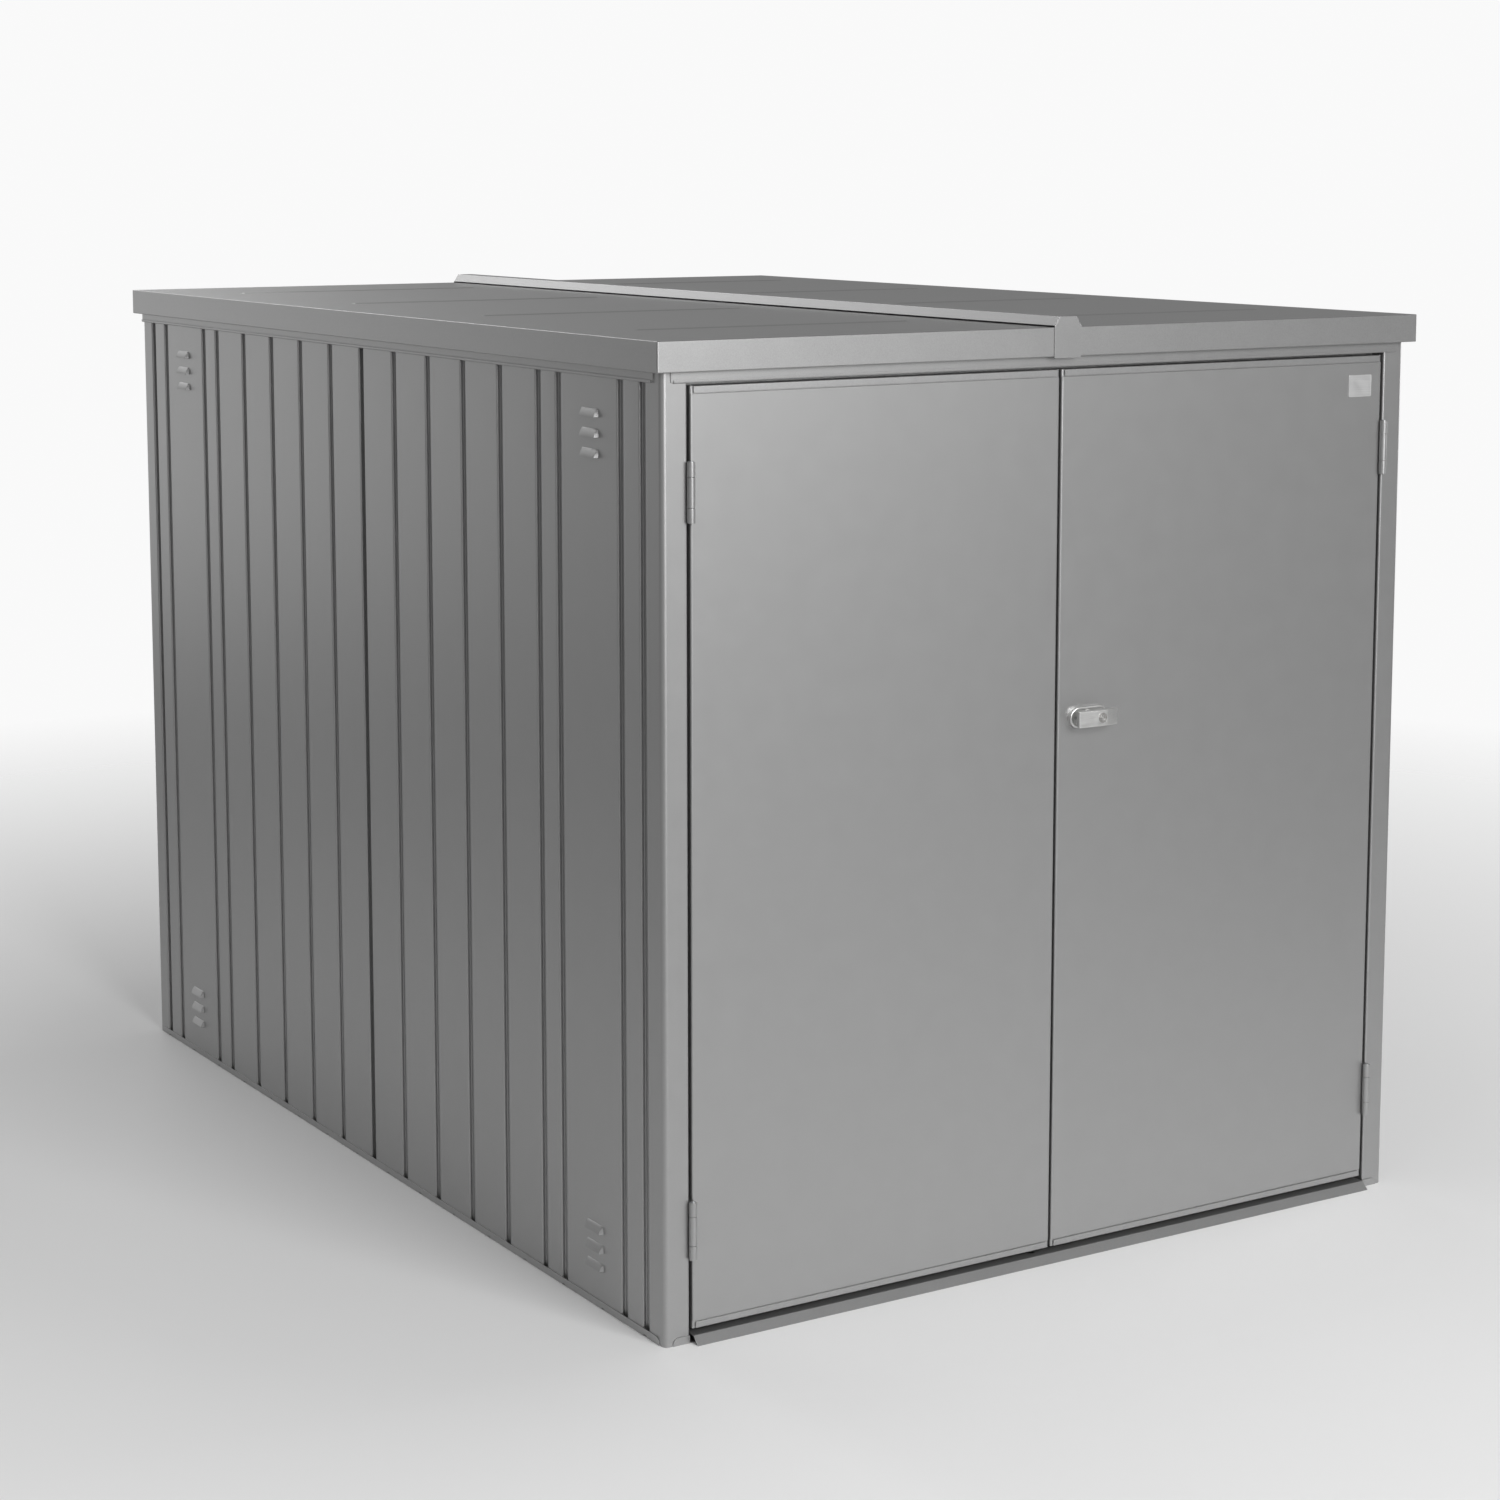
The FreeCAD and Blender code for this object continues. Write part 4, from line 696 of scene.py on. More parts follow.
def side_panel(s):
    """Front panel of the left wall: its section carried up, with the vent hoods pressed out of the wide plank.

    Just below each hood's lip a row of cells is left out, so the hood is open underneath.
    """
    grooves = side_grooves(s)
    corners = [(s.side + depth, place) for place, depth in panel_section(grooves, s)]
    section = fold(corners, s.sheet, steps=4)
    middle = (grooves[1] + grooves[2]) / 2 - 5
    half = s.hood_length / 2
    full = half - HOOD_END
    across = middle + stations(-half - 1, -half, -full, (-12, -6, 0, 6, 12), full, half, half + 1)
    spot = np.searchsorted(section[0][:, 1], across[0])
    section = widened(section, spot, (s.side, across), (s.side + s.sheet, across))
    curve = 1 - np.cos(np.linspace(0, np.pi / 2, 12))
    slits = hood_tops(s) - s.hood_height - SLIT
    levels = stations(wall_ends(s), slits, *[top - s.hood_height * curve for top in hood_tops(s)])
    along = section[0][:, 1:] - middle
    lift = np.where(abs(along) <= half + 0.5, hood_rise(along, levels[None] + 1e-6, s), 0)
    grids = spread(section, levels, "xyz")
    for grid in grids:
        grid[..., 0] -= lift
    raised = lift > 0.02
    slit = np.isin(np.round(levels[:-1], 3), np.round(slits, 3))
    return shell(*grids, ~(slit[None] & (raised[:-1, 1:] | raised[1:, 1:])))


def back_panel(s):
    """Left panel of the back wall."""
    corners = [(place, s.back - depth) for place, depth in panel_section(back_grooves(s), s)]
    return upright(fold(corners, s.sheet), s)


def joint_strip(s):
    """Channel behind the joint of two wall panels, in place in the left wall."""
    floor, half = s.side + 10, s.groove_width / 2
    corners = [(floor + 10, -half), (floor, -half), (floor, half), (floor + 10, half)]
    return upright(fold(corners, s.sheet, bend=0.6), s)


def front_post(s):
    """Front left corner post: a boxed jamb, a rounded corner and a flange behind the wall panel."""
    rows = ((18.8, 28), (42.8, 28), (42.8, 0), (0, 0), (0, 46), (7.2, 46), (7.2, 85))
    corners = [(s.side + x, s.face + y) for x, y in rows]
    return upright(fold(corners, s.frame_sheet, special={3: s.corner_radius, 5: 0.25}, steps=9), s)


def back_post(s):
    """Back left corner post: a rounded corner with a flange behind each wall panel."""
    rows = ((7.2, 85), (7.2, 46), (0, 46), (0, 0), (46, 0), (46, 7.2), (85, 7.2))
    corners = [(s.side + x, s.back - y) for x, y in rows]
    return upright(fold(corners, s.frame_sheet, special={1: 0.25, 3: s.corner_radius, 5: 0.25}, steps=9), s)


def top_rail(face, inner, inner_low, levels, hem_cells, inner_cells, s, axes):
    """Top rail with its section's outer face at the given place: hem, face, top flange and inner flange.

    The hem is the sheet turned outwards and up against itself. It and the inner flange stop short of the ends.
    """
    low, top = s.roof_top - s.rail_drop, s.roof_top - 1
    fillet, gap, steps = s.frame_sheet, 0.02, 5
    corners = [
        (face - gap, low + s.hem), (face - gap, low + fillet), (face, low + fillet),
        (face, top), (inner, top), (inner, inner_low),
    ]
    section = fold(corners, s.frame_sheet, special={1: gap / 2, 2: gap / 2}, steps=steps)
    kept = np.ones((4 * steps + 1, len(levels) - 1), bool)
    kept[: 2 * steps] &= hem_cells
    kept[inner_cells[0] :] &= inner_cells[1]
    return carried(section, levels, axes, kept)


def side_rail(s):
    """Left top rail. Over the posts only its face goes on, in front of them."""
    face, post = s.side - s.frame_sheet, s.face + 28
    levels = np.array([s.face + 21, s.face + 25.5, post, -post, s.back])
    flanges = inside(levels, post, -post)
    return top_rail(face, face + 39.5, s.roof_top - 27, levels, levels[:-1] > s.face + 24, (11, flanges), s, "xzy")


def cross_rail(inner_low, s):
    """Header over the doors, or the back rail when it is mirrored."""
    face, end, jamb = s.face - s.frame_sheet, s.half - 15, s.half - 44.8
    levels = np.array([-end, -end + 4.5, -jamb, jamb, end - 4.5, end])
    hem = inside(levels, -end + 4.5, end - 4.5)
    return top_rail(face, face + 28.5, inner_low, levels, hem, (17, inside(levels, -jamb, jamb)), s, "yzx")


LIP_ROUND = 9  # radius of the upper corners of the base rails' lips, in millimetres


def lip_stations(end):
    """Places along the rounded end of a base rail's lip, at both ends."""
    rounding = end - LIP_ROUND * np.array([0, 0.02, 0.08, 0.2, 0.4, 0.65, 1])
    return stations(rounding, -rounding)


def lip_height(place, end, s):
    """Height of a base rail's lip: a quarter circle down from its top over the last bit."""
    near = np.clip(LIP_ROUND - (end - abs(place)), 0, LIP_ROUND)
    return s.base_lip - LIP_ROUND + np.sqrt(LIP_ROUND**2 - near**2)


def side_base_rail(s):
    """Left base rail: a lip outside the wall with rounded ends and drain notches, a foot and an upstand inside.

    Its foot is rounded under the posts and has a hole for each ground anchor.
    """
    t, steps, hole, corner = s.frame_sheet, 5, 5.5, 8
    lip_end, upstand_end, anchor_x = s.back - 14, 960, s.side + 25
    corners = [(s.side + 40, 25), (s.side + 40, 0), (s.side - t, 0), (s.side - t, s.base_lip)]
    section = fold(corners, t, bend=0.3, special={1: 1.8, 2: 1.49}, steps=steps)
    across = anchor_x - np.array([9, 5.5, 3.3, 1.1, -1.1, -3.3, -5.5, -9])
    section = widened(section, steps + 1, (across, 0), (across, t))
    section = widened(section, len(section[0]) - 1, (s.side - t, 3.5), (s.side, 3.5))
    anchors = s.face + 200, s.back - 200
    notches = np.outer((-1, 1), (np.arange(8) + 0.5) * 126).reshape(-1)
    foot_round = s.back - corner * np.array([0, 0.08, 0.2, 0.4, 0.65, 1])
    levels = stations(
        notches - 4.5, notches + 4.5, lip_stations(lip_end), foot_round, -foot_round, (upstand_end, -upstand_end),
        *[hole_stations(place, hole) for place in anchors],
    )
    grids = spread(section, levels, "xzy")
    flat, beyond = slice(steps + 1, steps + 9), abs(levels) > lip_end - 0.001
    edge = s.side + corner - np.sqrt(corner**2 - np.clip(abs(levels) - s.back + corner, 0, corner) ** 2)
    for grid in grids:
        grid[-1, :, 2] = lip_height(levels, lip_end, s)
        grid[flat.stop :, beyond, 0] = np.maximum(grid[flat.stop :, beyond, 0], edge[beyond])
        for place in anchors:
            bore(grid, flat, levels, place, (anchor_x, place), hole)
    kept = all_cells(section[0], levels)
    for place in anchors:
        kept[flat.start + 1 : flat.stop - 2, inside(levels, place - hole, place + hole)] = False
    for middle in notches:
        kept[flat.stop : -1, inside(levels, middle - 4.5, middle + 4.5)] = False
    kept[flat.stop :, ~inside(levels, -lip_end, lip_end)] = False
    kept[:steps, ~inside(levels, -upstand_end, upstand_end)] = False
    return shell(*grids, kept)


def back_base_rail(s):
    """Back base rail: the same channel between the side rails, with its rounded lip in front of both posts."""
    t, steps, foot_end, lip_end = s.frame_sheet, 5, s.half - 40, s.half - 14
    corners = [(s.back + t, s.base_lip), (s.back + t, 0), (s.back - 40, 0), (s.back - 40, 25)]
    section = fold(corners, t, bend=0.3, special={1: 1.49, 2: 1.8}, steps=steps)
    levels = stations(lip_stations(lip_end), (foot_end, -foot_end))
    grids = spread(section, levels, "yzx")
    for grid in grids:
        grid[0, :, 2] = lip_height(levels, lip_end, s)
    kept = all_cells(section[0], levels)
    kept[steps:, ~inside(levels, -foot_end, foot_end)] = False
    return shell(*grids, kept)


def front_base_rail(s):
    """Front base rail: a flat plate between the posts, with a short lip, rounded on top, in front of each of them."""
    front, end, start = s.face - s.frame_sheet, s.side + 14, s.side + 42.8
    plate = block((40 - s.half, s.half - 40), (front, s.face + 54.5), (0, s.frame_sheet), 0.3)
    corners = [(end, 0.05), (start, 0.05), (start, s.base_lip), (end, s.base_lip)]
    lip = slab(rounded(corners, [0.4, 0.4, 0.4, LIP_ROUND], 9), rims(front, s.face - 0.4, 0.35), "xzy")
    return [plate, lip, lip.mirrored("x")]


def threshold(s):
    """Low ramp between the posts, with a slot for the locking rod and a round hole for the slide bolt."""
    t, end, nose, top = s.frame_sheet, s.half - 46.5, s.face - 18.3, 12.4
    corners = [(nose, 0), (nose + 12.8, top), (s.face + 27.5, top), (s.face + 42.5, t)]
    outer, inner = fold(corners, t, bend=0.6, steps=6)
    inner[0] = (nose + t * np.hypot(12.8, top) / top, 0)
    inner[-1] = (s.face + 42.5 - t * np.hypot(15, top - t) / (top - t), t)
    x, y, radius = BOLT_X, s.face + BOLT_IN, BOLT_HOLE
    across = stations(hole_stations(y, radius), s.face + 14, s.face + 20)
    section = widened((outer, inner), 7, (across, top), (across, top - t))
    levels = stations(-end, end, hole_stations(x, radius), (35.5, 56.5))
    grids = spread(section, levels, "yzx")
    for grid in grids:
        bore(grid, slice(7, 7 + len(across)), levels, x, (x, y), radius)
    places = section[0][:, 0]
    kept = ~np.outer(inside(places, y - radius, y + radius), inside(levels, x - radius, x + radius))
    kept &= ~np.outer(inside(places, s.face + 14, s.face + 20), inside(levels, 35.5, 56.5))
    return shell(*grids, kept)


# ------------------------------------------------------------------ roof

def cross_rows(s):
    """Places of the four beads and stiffeners along the roof's depth."""
    return (np.arange(4) - 1.5) * s.body_depth / 4


BEAD_ENDS = 110, 611  # where the beads on each side of the roof start and end, in millimetres from its middle


def bead_rise(x, y, s):
    """Height of the roof's beads: across each a raised cosine, along it a smooth end over its own width."""
    across = (y[..., None] - cross_rows(s)) / (s.bead_width / 2)
    crown = np.where(abs(across) < 1, (1 + np.cos(np.pi * across)) / 2, 0).sum(-1)
    ends = np.clip(np.minimum(abs(x) - BEAD_ENDS[0], BEAD_ENDS[1] - abs(x)) / (s.bead_width / 2), 0, 1)
    return s.bead_height * crown * ends**2 * (3 - 2 * ends)


def roof_tray(s):
    """Left roof tray: a beaded top, a skirt round three sides with a return below, and an upstand at the joint.

    The top is a grid raised by the beads. The skirt is the eave's section, as inset and height, carried along the
    outline of three sides with a small round at both corners.
    """
    left, right, end = s.side - s.overhang, -1.0, s.back + s.overhang
    top, low, t, corner, steps = s.roof_top, s.roof_top - s.skirt, s.sheet, 2.5, 7
    seam, bead = right - 3, s.bead_width / 2
    y = stations(-end + corner, end - corner, (cross_rows(s)[:, None] + np.linspace(-bead, bead, 11)).reshape(-1))
    tip = np.linspace(0, bead, 6)
    x = stations(left + corner, seam, -BEAD_ENDS[1] + tip, -BEAD_ENDS[0] - tip)
    rise = bead_rise(x[:, None], y[None], s)
    deck = shell(*[placed(x[:, None], y[None], top - drop + rise, "xyz") for drop in (0, t)])
    eave = fold([(8, low), (0, low), (0, top), (corner, top)], t, bend=0.5, special={1: 1.5, 2: 1.5}, steps=6)
    corners = [(seam, -end), (left, -end), (left, end), (seam, end)]
    path, moved = fold(corners, 1.0, special={1: corner, 2: corner}, steps=steps)
    normals = path - moved
    line, out = [path[:1]], [normals[:1]]
    runs = pairs(x[-2:0:-1], -end), pairs(left, y[1:-1]), pairs(x[1:-1], end)
    for run, way, start in zip(runs, ((0, -1), (-1, 0), (0, 1)), (1, 1 + steps, 1 + 2 * steps)):
        line += [run, path[start : start + steps]]
        out += [np.tile(way, (len(run), 1)), normals[start : start + steps]]
    line, out = np.concatenate(line), np.concatenate(out)
    grids = []
    for edge in eave:
        ring = line[:, None] - edge[None, :, :1] * out[:, None]
        grids.append(placed(ring[..., 0], ring[..., 1], edge[None, :, 1], "xyz"))
    lap = fold([(seam, top), (right, top), (right, top + 14.5)], t, bend=1.0)
    return deck, shell(*grids), carried(lap, stations(-end, end, y), "xzy")


def ridge_cap(s):
    """Folded cap over the joint of the roof trays."""
    foot, top, end = s.roof_top + 2.5, s.roof_top + s.ridge_rise, s.back + s.overhang
    wide, crown = s.ridge_width / 2, s.ridge_crown / 2
    corners = [(-wide, foot), (-crown, top), (crown, top), (wide, foot)]
    return carried(fold(corners, s.sheet, bend=1.2, steps=6), (-end, end), "xzy")


def ridge_end(s):
    """Front end plate of the ridge: a flat plate with cut shoulders."""
    low, shoulder, top = s.roof_top - s.skirt - 2.5, s.roof_top + 1, s.roof_top + s.ridge_rise
    half, crown, front = s.ridge_width / 2, s.ridge_crown / 2, s.face - s.overhang
    corners = [(-half, low), (half, low), (half, shoulder), (crown, top), (-crown, top), (-half, shoulder)]
    return slab(rounded(corners, 1.0, 5), rims(front - 1.5, front, 0.45), "xzy")


def roof_stiffeners(s):
    """Shallow hats under both trays."""
    rows = ((18, 2), (9, 2), (9, 13), (-9, 13), (-9, 2), (-18, 2))
    hats = []
    for place in cross_rows(s):
        section = fold([(place + a, s.roof_top - b) for a, b in rows], s.sheet, bend=0.6)
        hat = carried(section, (s.side + 115, -BEAD_ENDS[0]), "yzx")
        hats += [hat, hat.mirrored("x")]
    return hats


# ------------------------------------------------------------------ doors

SHADOW_LINE = 1.7  # width of the fine line beside a cap's lip, in millimetres
SET_BACK = 1.1  # how far a door's skin lies behind its caps' lips, in millimetres
BOLT_X, BOLT_IN, BOLT_HOLE = -27.0, 14.0, 6.0  # a slide bolt's place, depth behind the face and hole, in millimetres
HINGES = 173.0, 1265.0  # heights of the hinges' middles, in millimetres


def door_skin(s):
    """Skin of the left door: a flat face with both long edges folded back and in.

    Behind the caps' lips, and a little beyond them, the face is set back, which leaves a fine shadow line.
    """
    back = s.face + s.thick
    fold_in = 18
    corners = [(-s.meet - fold_in, back), (-s.meet, back), (-s.meet, s.face)]
    corners += [(-s.edge, s.face), (-s.edge, back), (fold_in - s.edge, back)]
    low, high = s.bottom + s.cap_lip + SHADOW_LINE, s.top - s.cap_lip - SHADOW_LINE
    levels = np.array([s.bottom + s.sheet, low - 0.3, low, high, high + 0.3, s.top - s.sheet])
    grids = spread(fold(corners, s.sheet, bend=2.0, steps=8), levels, "xyz")
    for grid in grids:
        share = np.clip((back - 3 - grid[..., 1]) / 6, 0, 1)
        grid[..., 1] += share * SET_BACK * (1, 1, 0, 0, 1, 1)
    return shell(*grids)


def door_cap(s, x, y, wide, deep, round_hole=False):
    """Channel that closes the left door at its top: a lip over the face, a web and a flange behind.

    The lip's lower corners are rounded and the web's ends follow the skin's rounded edges. The web has a hole
    about x and y, half as wide and deep as given: a slot for a locking rod, or round for the slide bolt.
    """
    t, back, steps, corner = s.sheet, s.face + s.thick, 5, 2
    corners = [(s.face - t, s.top - s.cap_lip), (s.face - t, s.top), (back, s.top), (back, s.top - 20)]
    hole_y, hole_x = (y - deep, y + deep), (x - wide, x + wide)
    patch = (hole_stations(y, deep), hole_stations(x, wide)) if round_hole else (hole_y, hole_x)
    across = stations(patch[0], s.face + np.array([1.6, 2.3, 3.2]), back - np.array([1.7, 2.4, 3.2]))
    web = slice(steps + 1, steps + 1 + len(across))
    section = widened(fold(corners, t, bend=0.6, steps=steps), web.start, (across, s.top), (across, s.top - t))
    lip, flange = (5 - s.edge, -s.meet - 5), (19 - s.edge, -s.meet - 19)
    small = corner * np.array([0, 0.03, 0.12, 0.3, 0.6, 1])
    levels = stations(patch[1], lip[0] + small, lip[1] - small, -s.edge, -s.meet, flange)
    middle, reach = sum(lip) / 2, (lip[1] - lip[0]) / 2
    grids = spread(section, levels, "yzx")
    for grid in grids:
        near = np.clip(corner - (reach - abs(levels - middle)), 0, corner)
        grid[0, :, 2] += corner - np.sqrt(corner**2 - near**2)
        depth = np.minimum(grid[..., 1] - s.face, back - grid[..., 1])
        limit = 3 - np.sqrt(np.clip(9 - np.clip(3 - depth, 0, 3) ** 2, 0, 9))
        grid[..., 0] = np.clip(grid[..., 0], limit - s.edge, -s.meet - limit)
        if round_hole:
            bore(grid, web, levels, x, (x, y), wide)
    kept = all_cells(section[0], levels)
    kept[: web.start] &= inside(levels, *lip)
    kept[web.stop :] &= inside(levels, *flange)
    return shell(*grids, kept & ~np.outer(inside(section[0][:, 0], *hole_y), inside(levels, *hole_x)))


def upside_down(skin, s):
    """A door's bottom cap from its top cap."""
    return skin.mirrored("z").moved(z=s.top + s.bottom)


def door_hats(s):
    """Cross stiffeners inside the left door's skin."""
    half, crown = s.hat_width / 2, s.hat_width / 4
    rows = ((2, half), (2, crown), (12, crown), (12, -crown), (2, -crown), (2, -half))
    sections = [fold([(s.face + a, z + b) for a, b in rows], s.sheet, bend=0.6) for z in (256.5, 492.5, 1216.65)]
    return [carried(section, (24 - s.edge, -s.meet - 24), "yzx") for section in sections]


def hinge_axis(s):
    """Place of the left hinges' axis."""
    return -s.edge - 2.6, s.face - s.knuckle_radius


def barrel(low, high, s):
    """Hinge knuckle: a tube with rounded rims."""
    r, bore_radius, radius = 0.5, 3.05, s.knuckle_radius
    profile = [(bore_radius, low), (radius - r, low), (radius - 0.15, low + 0.15), (radius, low + r)]
    profile += [(radius, high - r), (radius - 0.15, high - 0.15), (radius - r, high), (bore_radius, high)]
    return turned(profile, hinge_axis(s), closed=True)


def hinge_leaves(s, on_door):
    """Left hinge leaves of the frame or the door: a plate in the door gap that runs into its knuckles."""
    plate = (-s.edge - 2, -s.edge) if on_door else (-s.edge - 5.2, -s.edge - 3.2)
    half, quarter = s.hinge_length / 2, s.hinge_length / 4
    skins = []
    for z in HINGES:
        spans = [(z - quarter + 0.25, z + quarter - 0.25)]
        if not on_door:
            spans = [(z - half, z - quarter - 0.25), (z + quarter + 0.25, z + half)]
        skins.append(block(plate, (s.face + 0.6, s.face + 20), (z - half, z + half), 0.6))
        for span in spans:
            skins += [barrel(*span, s), block(plate, (hinge_axis(s)[1] + 3.4, s.face + 1.5), span, 0.6)]
    return skins


def hinge_pins(s):
    """Left hinge pins with domed heads and a rounded foot."""
    skins = []
    for z in HINGES:
        foot, head = z - s.hinge_length / 2, z + s.hinge_length / 2
        dome = [(4.2 * np.cos(a), head + 0.55 + 0.95 * np.sin(a)) for a in np.linspace(0, 1.45, 7)]
        shaft = [(2.3, foot), (2.8, foot + 0.3), (3.0, foot + 0.8), (3.0, head), (4.0, head), (4.2, head + 0.2)]
        skins.append(turned(shaft + dome, hinge_axis(s)))
    return skins


def badge_plate(s):
    """Bare badge plate with rounded corners: a flat field inside a fine raised edge."""
    right, middle = s.edge - 46.5 + s.badge_width / 2, s.top - 48.8
    rise = s.badge_height / 2
    outline = rectangle((right - s.badge_width, right), (middle - rise, middle + rise), 2.2, 7)
    rows = ((0, 0), (0, 0.85), (0.06, 0.95), (0.15, 1.0), (0.9, 1.0), (1.1, 0.92), (1.3, 0.9))
    return slab(outline, [(inset, s.face - level) for inset, level in rows], "xzy")


# ------------------------------------------------------------------ handle and lock

def behind(front, *rows):
    """Section or profile from (inset or radius, depth behind the front) pairs."""
    return [(first, front + depth) for first, depth in rows]


def bar_faces(s):
    """Places of the handle bar's back, and of its front at the ridge."""
    back = s.face - s.plate_thick - s.bar_gap
    return back, back - s.bar_thick


def backplate(s):
    """Handle backplate: a slot-shaped plate with a rounded rim round a shallow field, and a collar for the spindle."""
    half, rise, rim = s.plate_length / 2, s.plate_height / 2, 2.5
    front, centre = s.face - s.plate_thick, (s.lock_x, s.lock_z)
    outline = rectangle((centre[0] - half, centre[0] + half), (centre[1] - rise, centre[1] + rise), rise - 0.001, 16)
    section = [(0, s.face)] + [
        (rim * (1 - np.cos(a)), front + rim * (1 - np.sin(a))) for a in np.linspace(0, np.pi / 2, 6)
    ]
    section += behind(front, (3.6, 0), (4.4, 0.25), (5.0, 1.0), (5.6, 1.2), (15.5, 1.2))
    collar = behind(front, (11.5, 1.25), (11.3, 0.5), (10.8, 0), (9.0, -0.15), (4.2, -0.15), (4.2, 1.4))
    return [slab(outline, section, "xzy"), turned(collar, centre, "xzy", 56, closed=True)]


def handle_bar(s):
    """Handle bar, its flared neck and spindle.

    In plan the bar's front is a low ridge at the key plug that falls away to both ends. Its outline in plan is
    carried over the bar's height, and the rims are rounded. The bore of the plug is a collar of its own.
    """
    back, front = bar_faces(s)
    left, right, ridge, rise = s.lock_x - 34, s.lock_x + 43, s.lock_x + s.plug_offset, s.bar_height / 2
    plan = [(left, back), (left, front + 1.8), (ridge - 9.6, front + 0.1)]
    plan += [(ridge + 9.6, front + 0.1), (right, front + 3.8), (right, back)]
    outline = rounded(plan, [1.4, 1.4, 4, 4, 1.4, 1.4], 6)
    bar = slab(outline, rims(s.lock_z - rise, s.lock_z + rise, 1.3, 5), "xyz")
    end = s.face - s.plate_thick - 0.5
    neck = behind(end, (4.0, 22.5), (4.0, 0), (7.4, 0), (7.5, -0.3))
    neck += behind(back, (7.5, 3.0), (8.2, 1.4), (9.8, 0.3), (9.8, -0.5))
    inner = s.plug_radius + 0.15
    bezel = behind(front, (inner, 2), (inner, 0.25), (inner + 0.3, 0), (9.9, 0), (10.35, 0.3), (10.35, 2))
    return [
        bar, turned(neck, (s.lock_x, s.lock_z), "xzy", 40), turned(bezel, (ridge, s.lock_z), "xzy", 56, closed=True),
    ]


def key_plug(s):
    """Key plug: a round front with its keyway sunk in it, and a round body behind.

    The front is a square grid whose outer rows are pulled to a circle. The keyway's cells lie deeper, and each of
    its walls is a row of cells between two nearly equal places.
    """
    front, r = bar_faces(s)[1], s.plug_radius
    edge = np.array([0.62, 0.8, 0.93, 1.0]) * r
    u = stations(-edge, edge, (-0.82, -0.8, 0.8, 0.82), np.linspace(-4, 4, 5) * 0.2 + 3, -3)[:, None]
    v = stations(-edge, edge, (-4.02, -4.0, 4.0, 4.02), np.linspace(-3, 3, 7))[None]
    square = np.maximum(abs(u), abs(v))
    pull = np.clip((square - 0.5 * r) / (0.5 * r), 0, 1)
    scale = 1 - pull + pull * square / (np.hypot(u, v) + 1e-9)
    keyway = (abs(u) < 0.81) & (abs(v) < 4.01)
    chamfer = np.clip((square - 0.93 * r) / (0.07 * r), 0, 1) * 0.35
    depth = front + np.where(keyway, 5.0, 0.0) + chamfer + 0.05
    grid = placed(s.lock_x + s.plug_offset + u * scale, depth, s.lock_z + v * scale, "xyz")
    points = grid.reshape(-1, 3)
    index = np.arange(len(points)).reshape(grid.shape[:2])
    rim = np.concatenate([index[:-1, 0], index[-1, :-1], index[:0:-1, -1], index[0, :0:-1]])
    ring = points[rim] * (1, 0, 1) + (0, front + 6.5, 0)
    tail = len(points) + np.arange(len(rim))
    sides = np.stack([rim, np.roll(rim, -1), np.roll(tail, -1), tail], -1)
    quads = np.concatenate([grid_cells(index).reshape(-1, 4), sides])[:, ::-1]
    return Skin(np.concatenate([points, ring]), quads, caps=[tail[::-1]]).outward()


def cam(s):
    """Cam disc with chamfered rims and a pin for each rod."""
    front, r = s.face + 10, s.cam_radius
    disc = behind(front, (3.0, 0), (r - 0.5, 0), (r, 0.5), (r, 3.5), (r - 0.5, 4), (3.0, 4))
    pin = behind(front, (3.6, 3.8), (3.6, 4.4), (3.0, 4.8), (3.0, 10.4), (2.4, 11))
    reach = 14 * np.sqrt(0.5)
    places = [(s.lock_x + side * reach, s.lock_z - side * reach) for side in (-1, 1)]
    return [turned(disc, (s.lock_x, s.lock_z), "xzy", 56)] + [turned(pin, place, "xzy", 28) for place in places]


def locking_rod(s, side):
    """Flat locking rod with a slot over its cam pin. Its tip is narrowed to find its hole."""
    middle, slot = s.lock_x + side * 12, s.lock_z - side * 10.17
    tip = s.top - 3 if side > 0 else s.bottom + 4
    half, slot_half, narrowing, narrow_length = s.rod_width / 2, 3.6, 3, 6
    low, high = sorted((s.lock_x + side * 5.9, s.lock_x + side * 18))
    x = stations(-half, half, side * np.array([5.9, 18]) - side * 12) + middle
    z = stations(slot - side * 9, slot - slot_half, slot + slot_half, tip, tip - side * narrow_length)
    taper = np.clip(1 - abs(tip - z) / narrow_length, 0, 1) * narrowing
    place = middle + (x[:, None] - middle) * (1 - taper[None] / half)
    grids = [placed(place, s.face + depth, z[None], "xyz") for depth in (15, 19)]
    return shell(*grids, ~np.outer(inside(x, low, high), inside(z, slot - slot_half, slot + slot_half)))


def lock_case(s):
    """Folded cover behind the cam, open above and below for the rods."""
    rows = ((-45, 2.5), (-36, 2.5), (-36, 24), (36, 24), (36, 2.5), (45, 2.5))
    section = fold([(s.lock_x + a, s.face + b) for a, b in rows], s.frame_sheet, bend=0.6)
    return carried(section, (s.lock_z - 35, s.lock_z + 35), "xyz")


def slide_bolt(s, side):
    """Slide bolt of the passive leaf: a round shaft with a tapered tip, and a waisted knob."""
    tip = s.top - 4.5 if side > 0 else s.bottom + 4.5
    rows = ((3.6, 0), (4.6, 0.4), (5.0, 1.4), (5.0, 126.5), (4.3, 129), (3.4, 130))
    shaft = [(radius, tip - side * 130 + side * level) for radius, level in rows]
    knob = behind(
        s.face + BOLT_IN, (3.0, 1.0), (3.9, 4.0), (3.9, 9.5), (3.2, 11.5), (3.0, 13.5),
        (3.5, 15.5), (4.0, 17.0), (4.0, 18.6), (3.6, 19.5), (2.6, 20.0),
    )
    return [turned(shaft, (BOLT_X, s.face + BOLT_IN), steps=32), turned(knob, (BOLT_X, tip - side * 71), "xzy", 32)]


# ------------------------------------------------------------------ operators

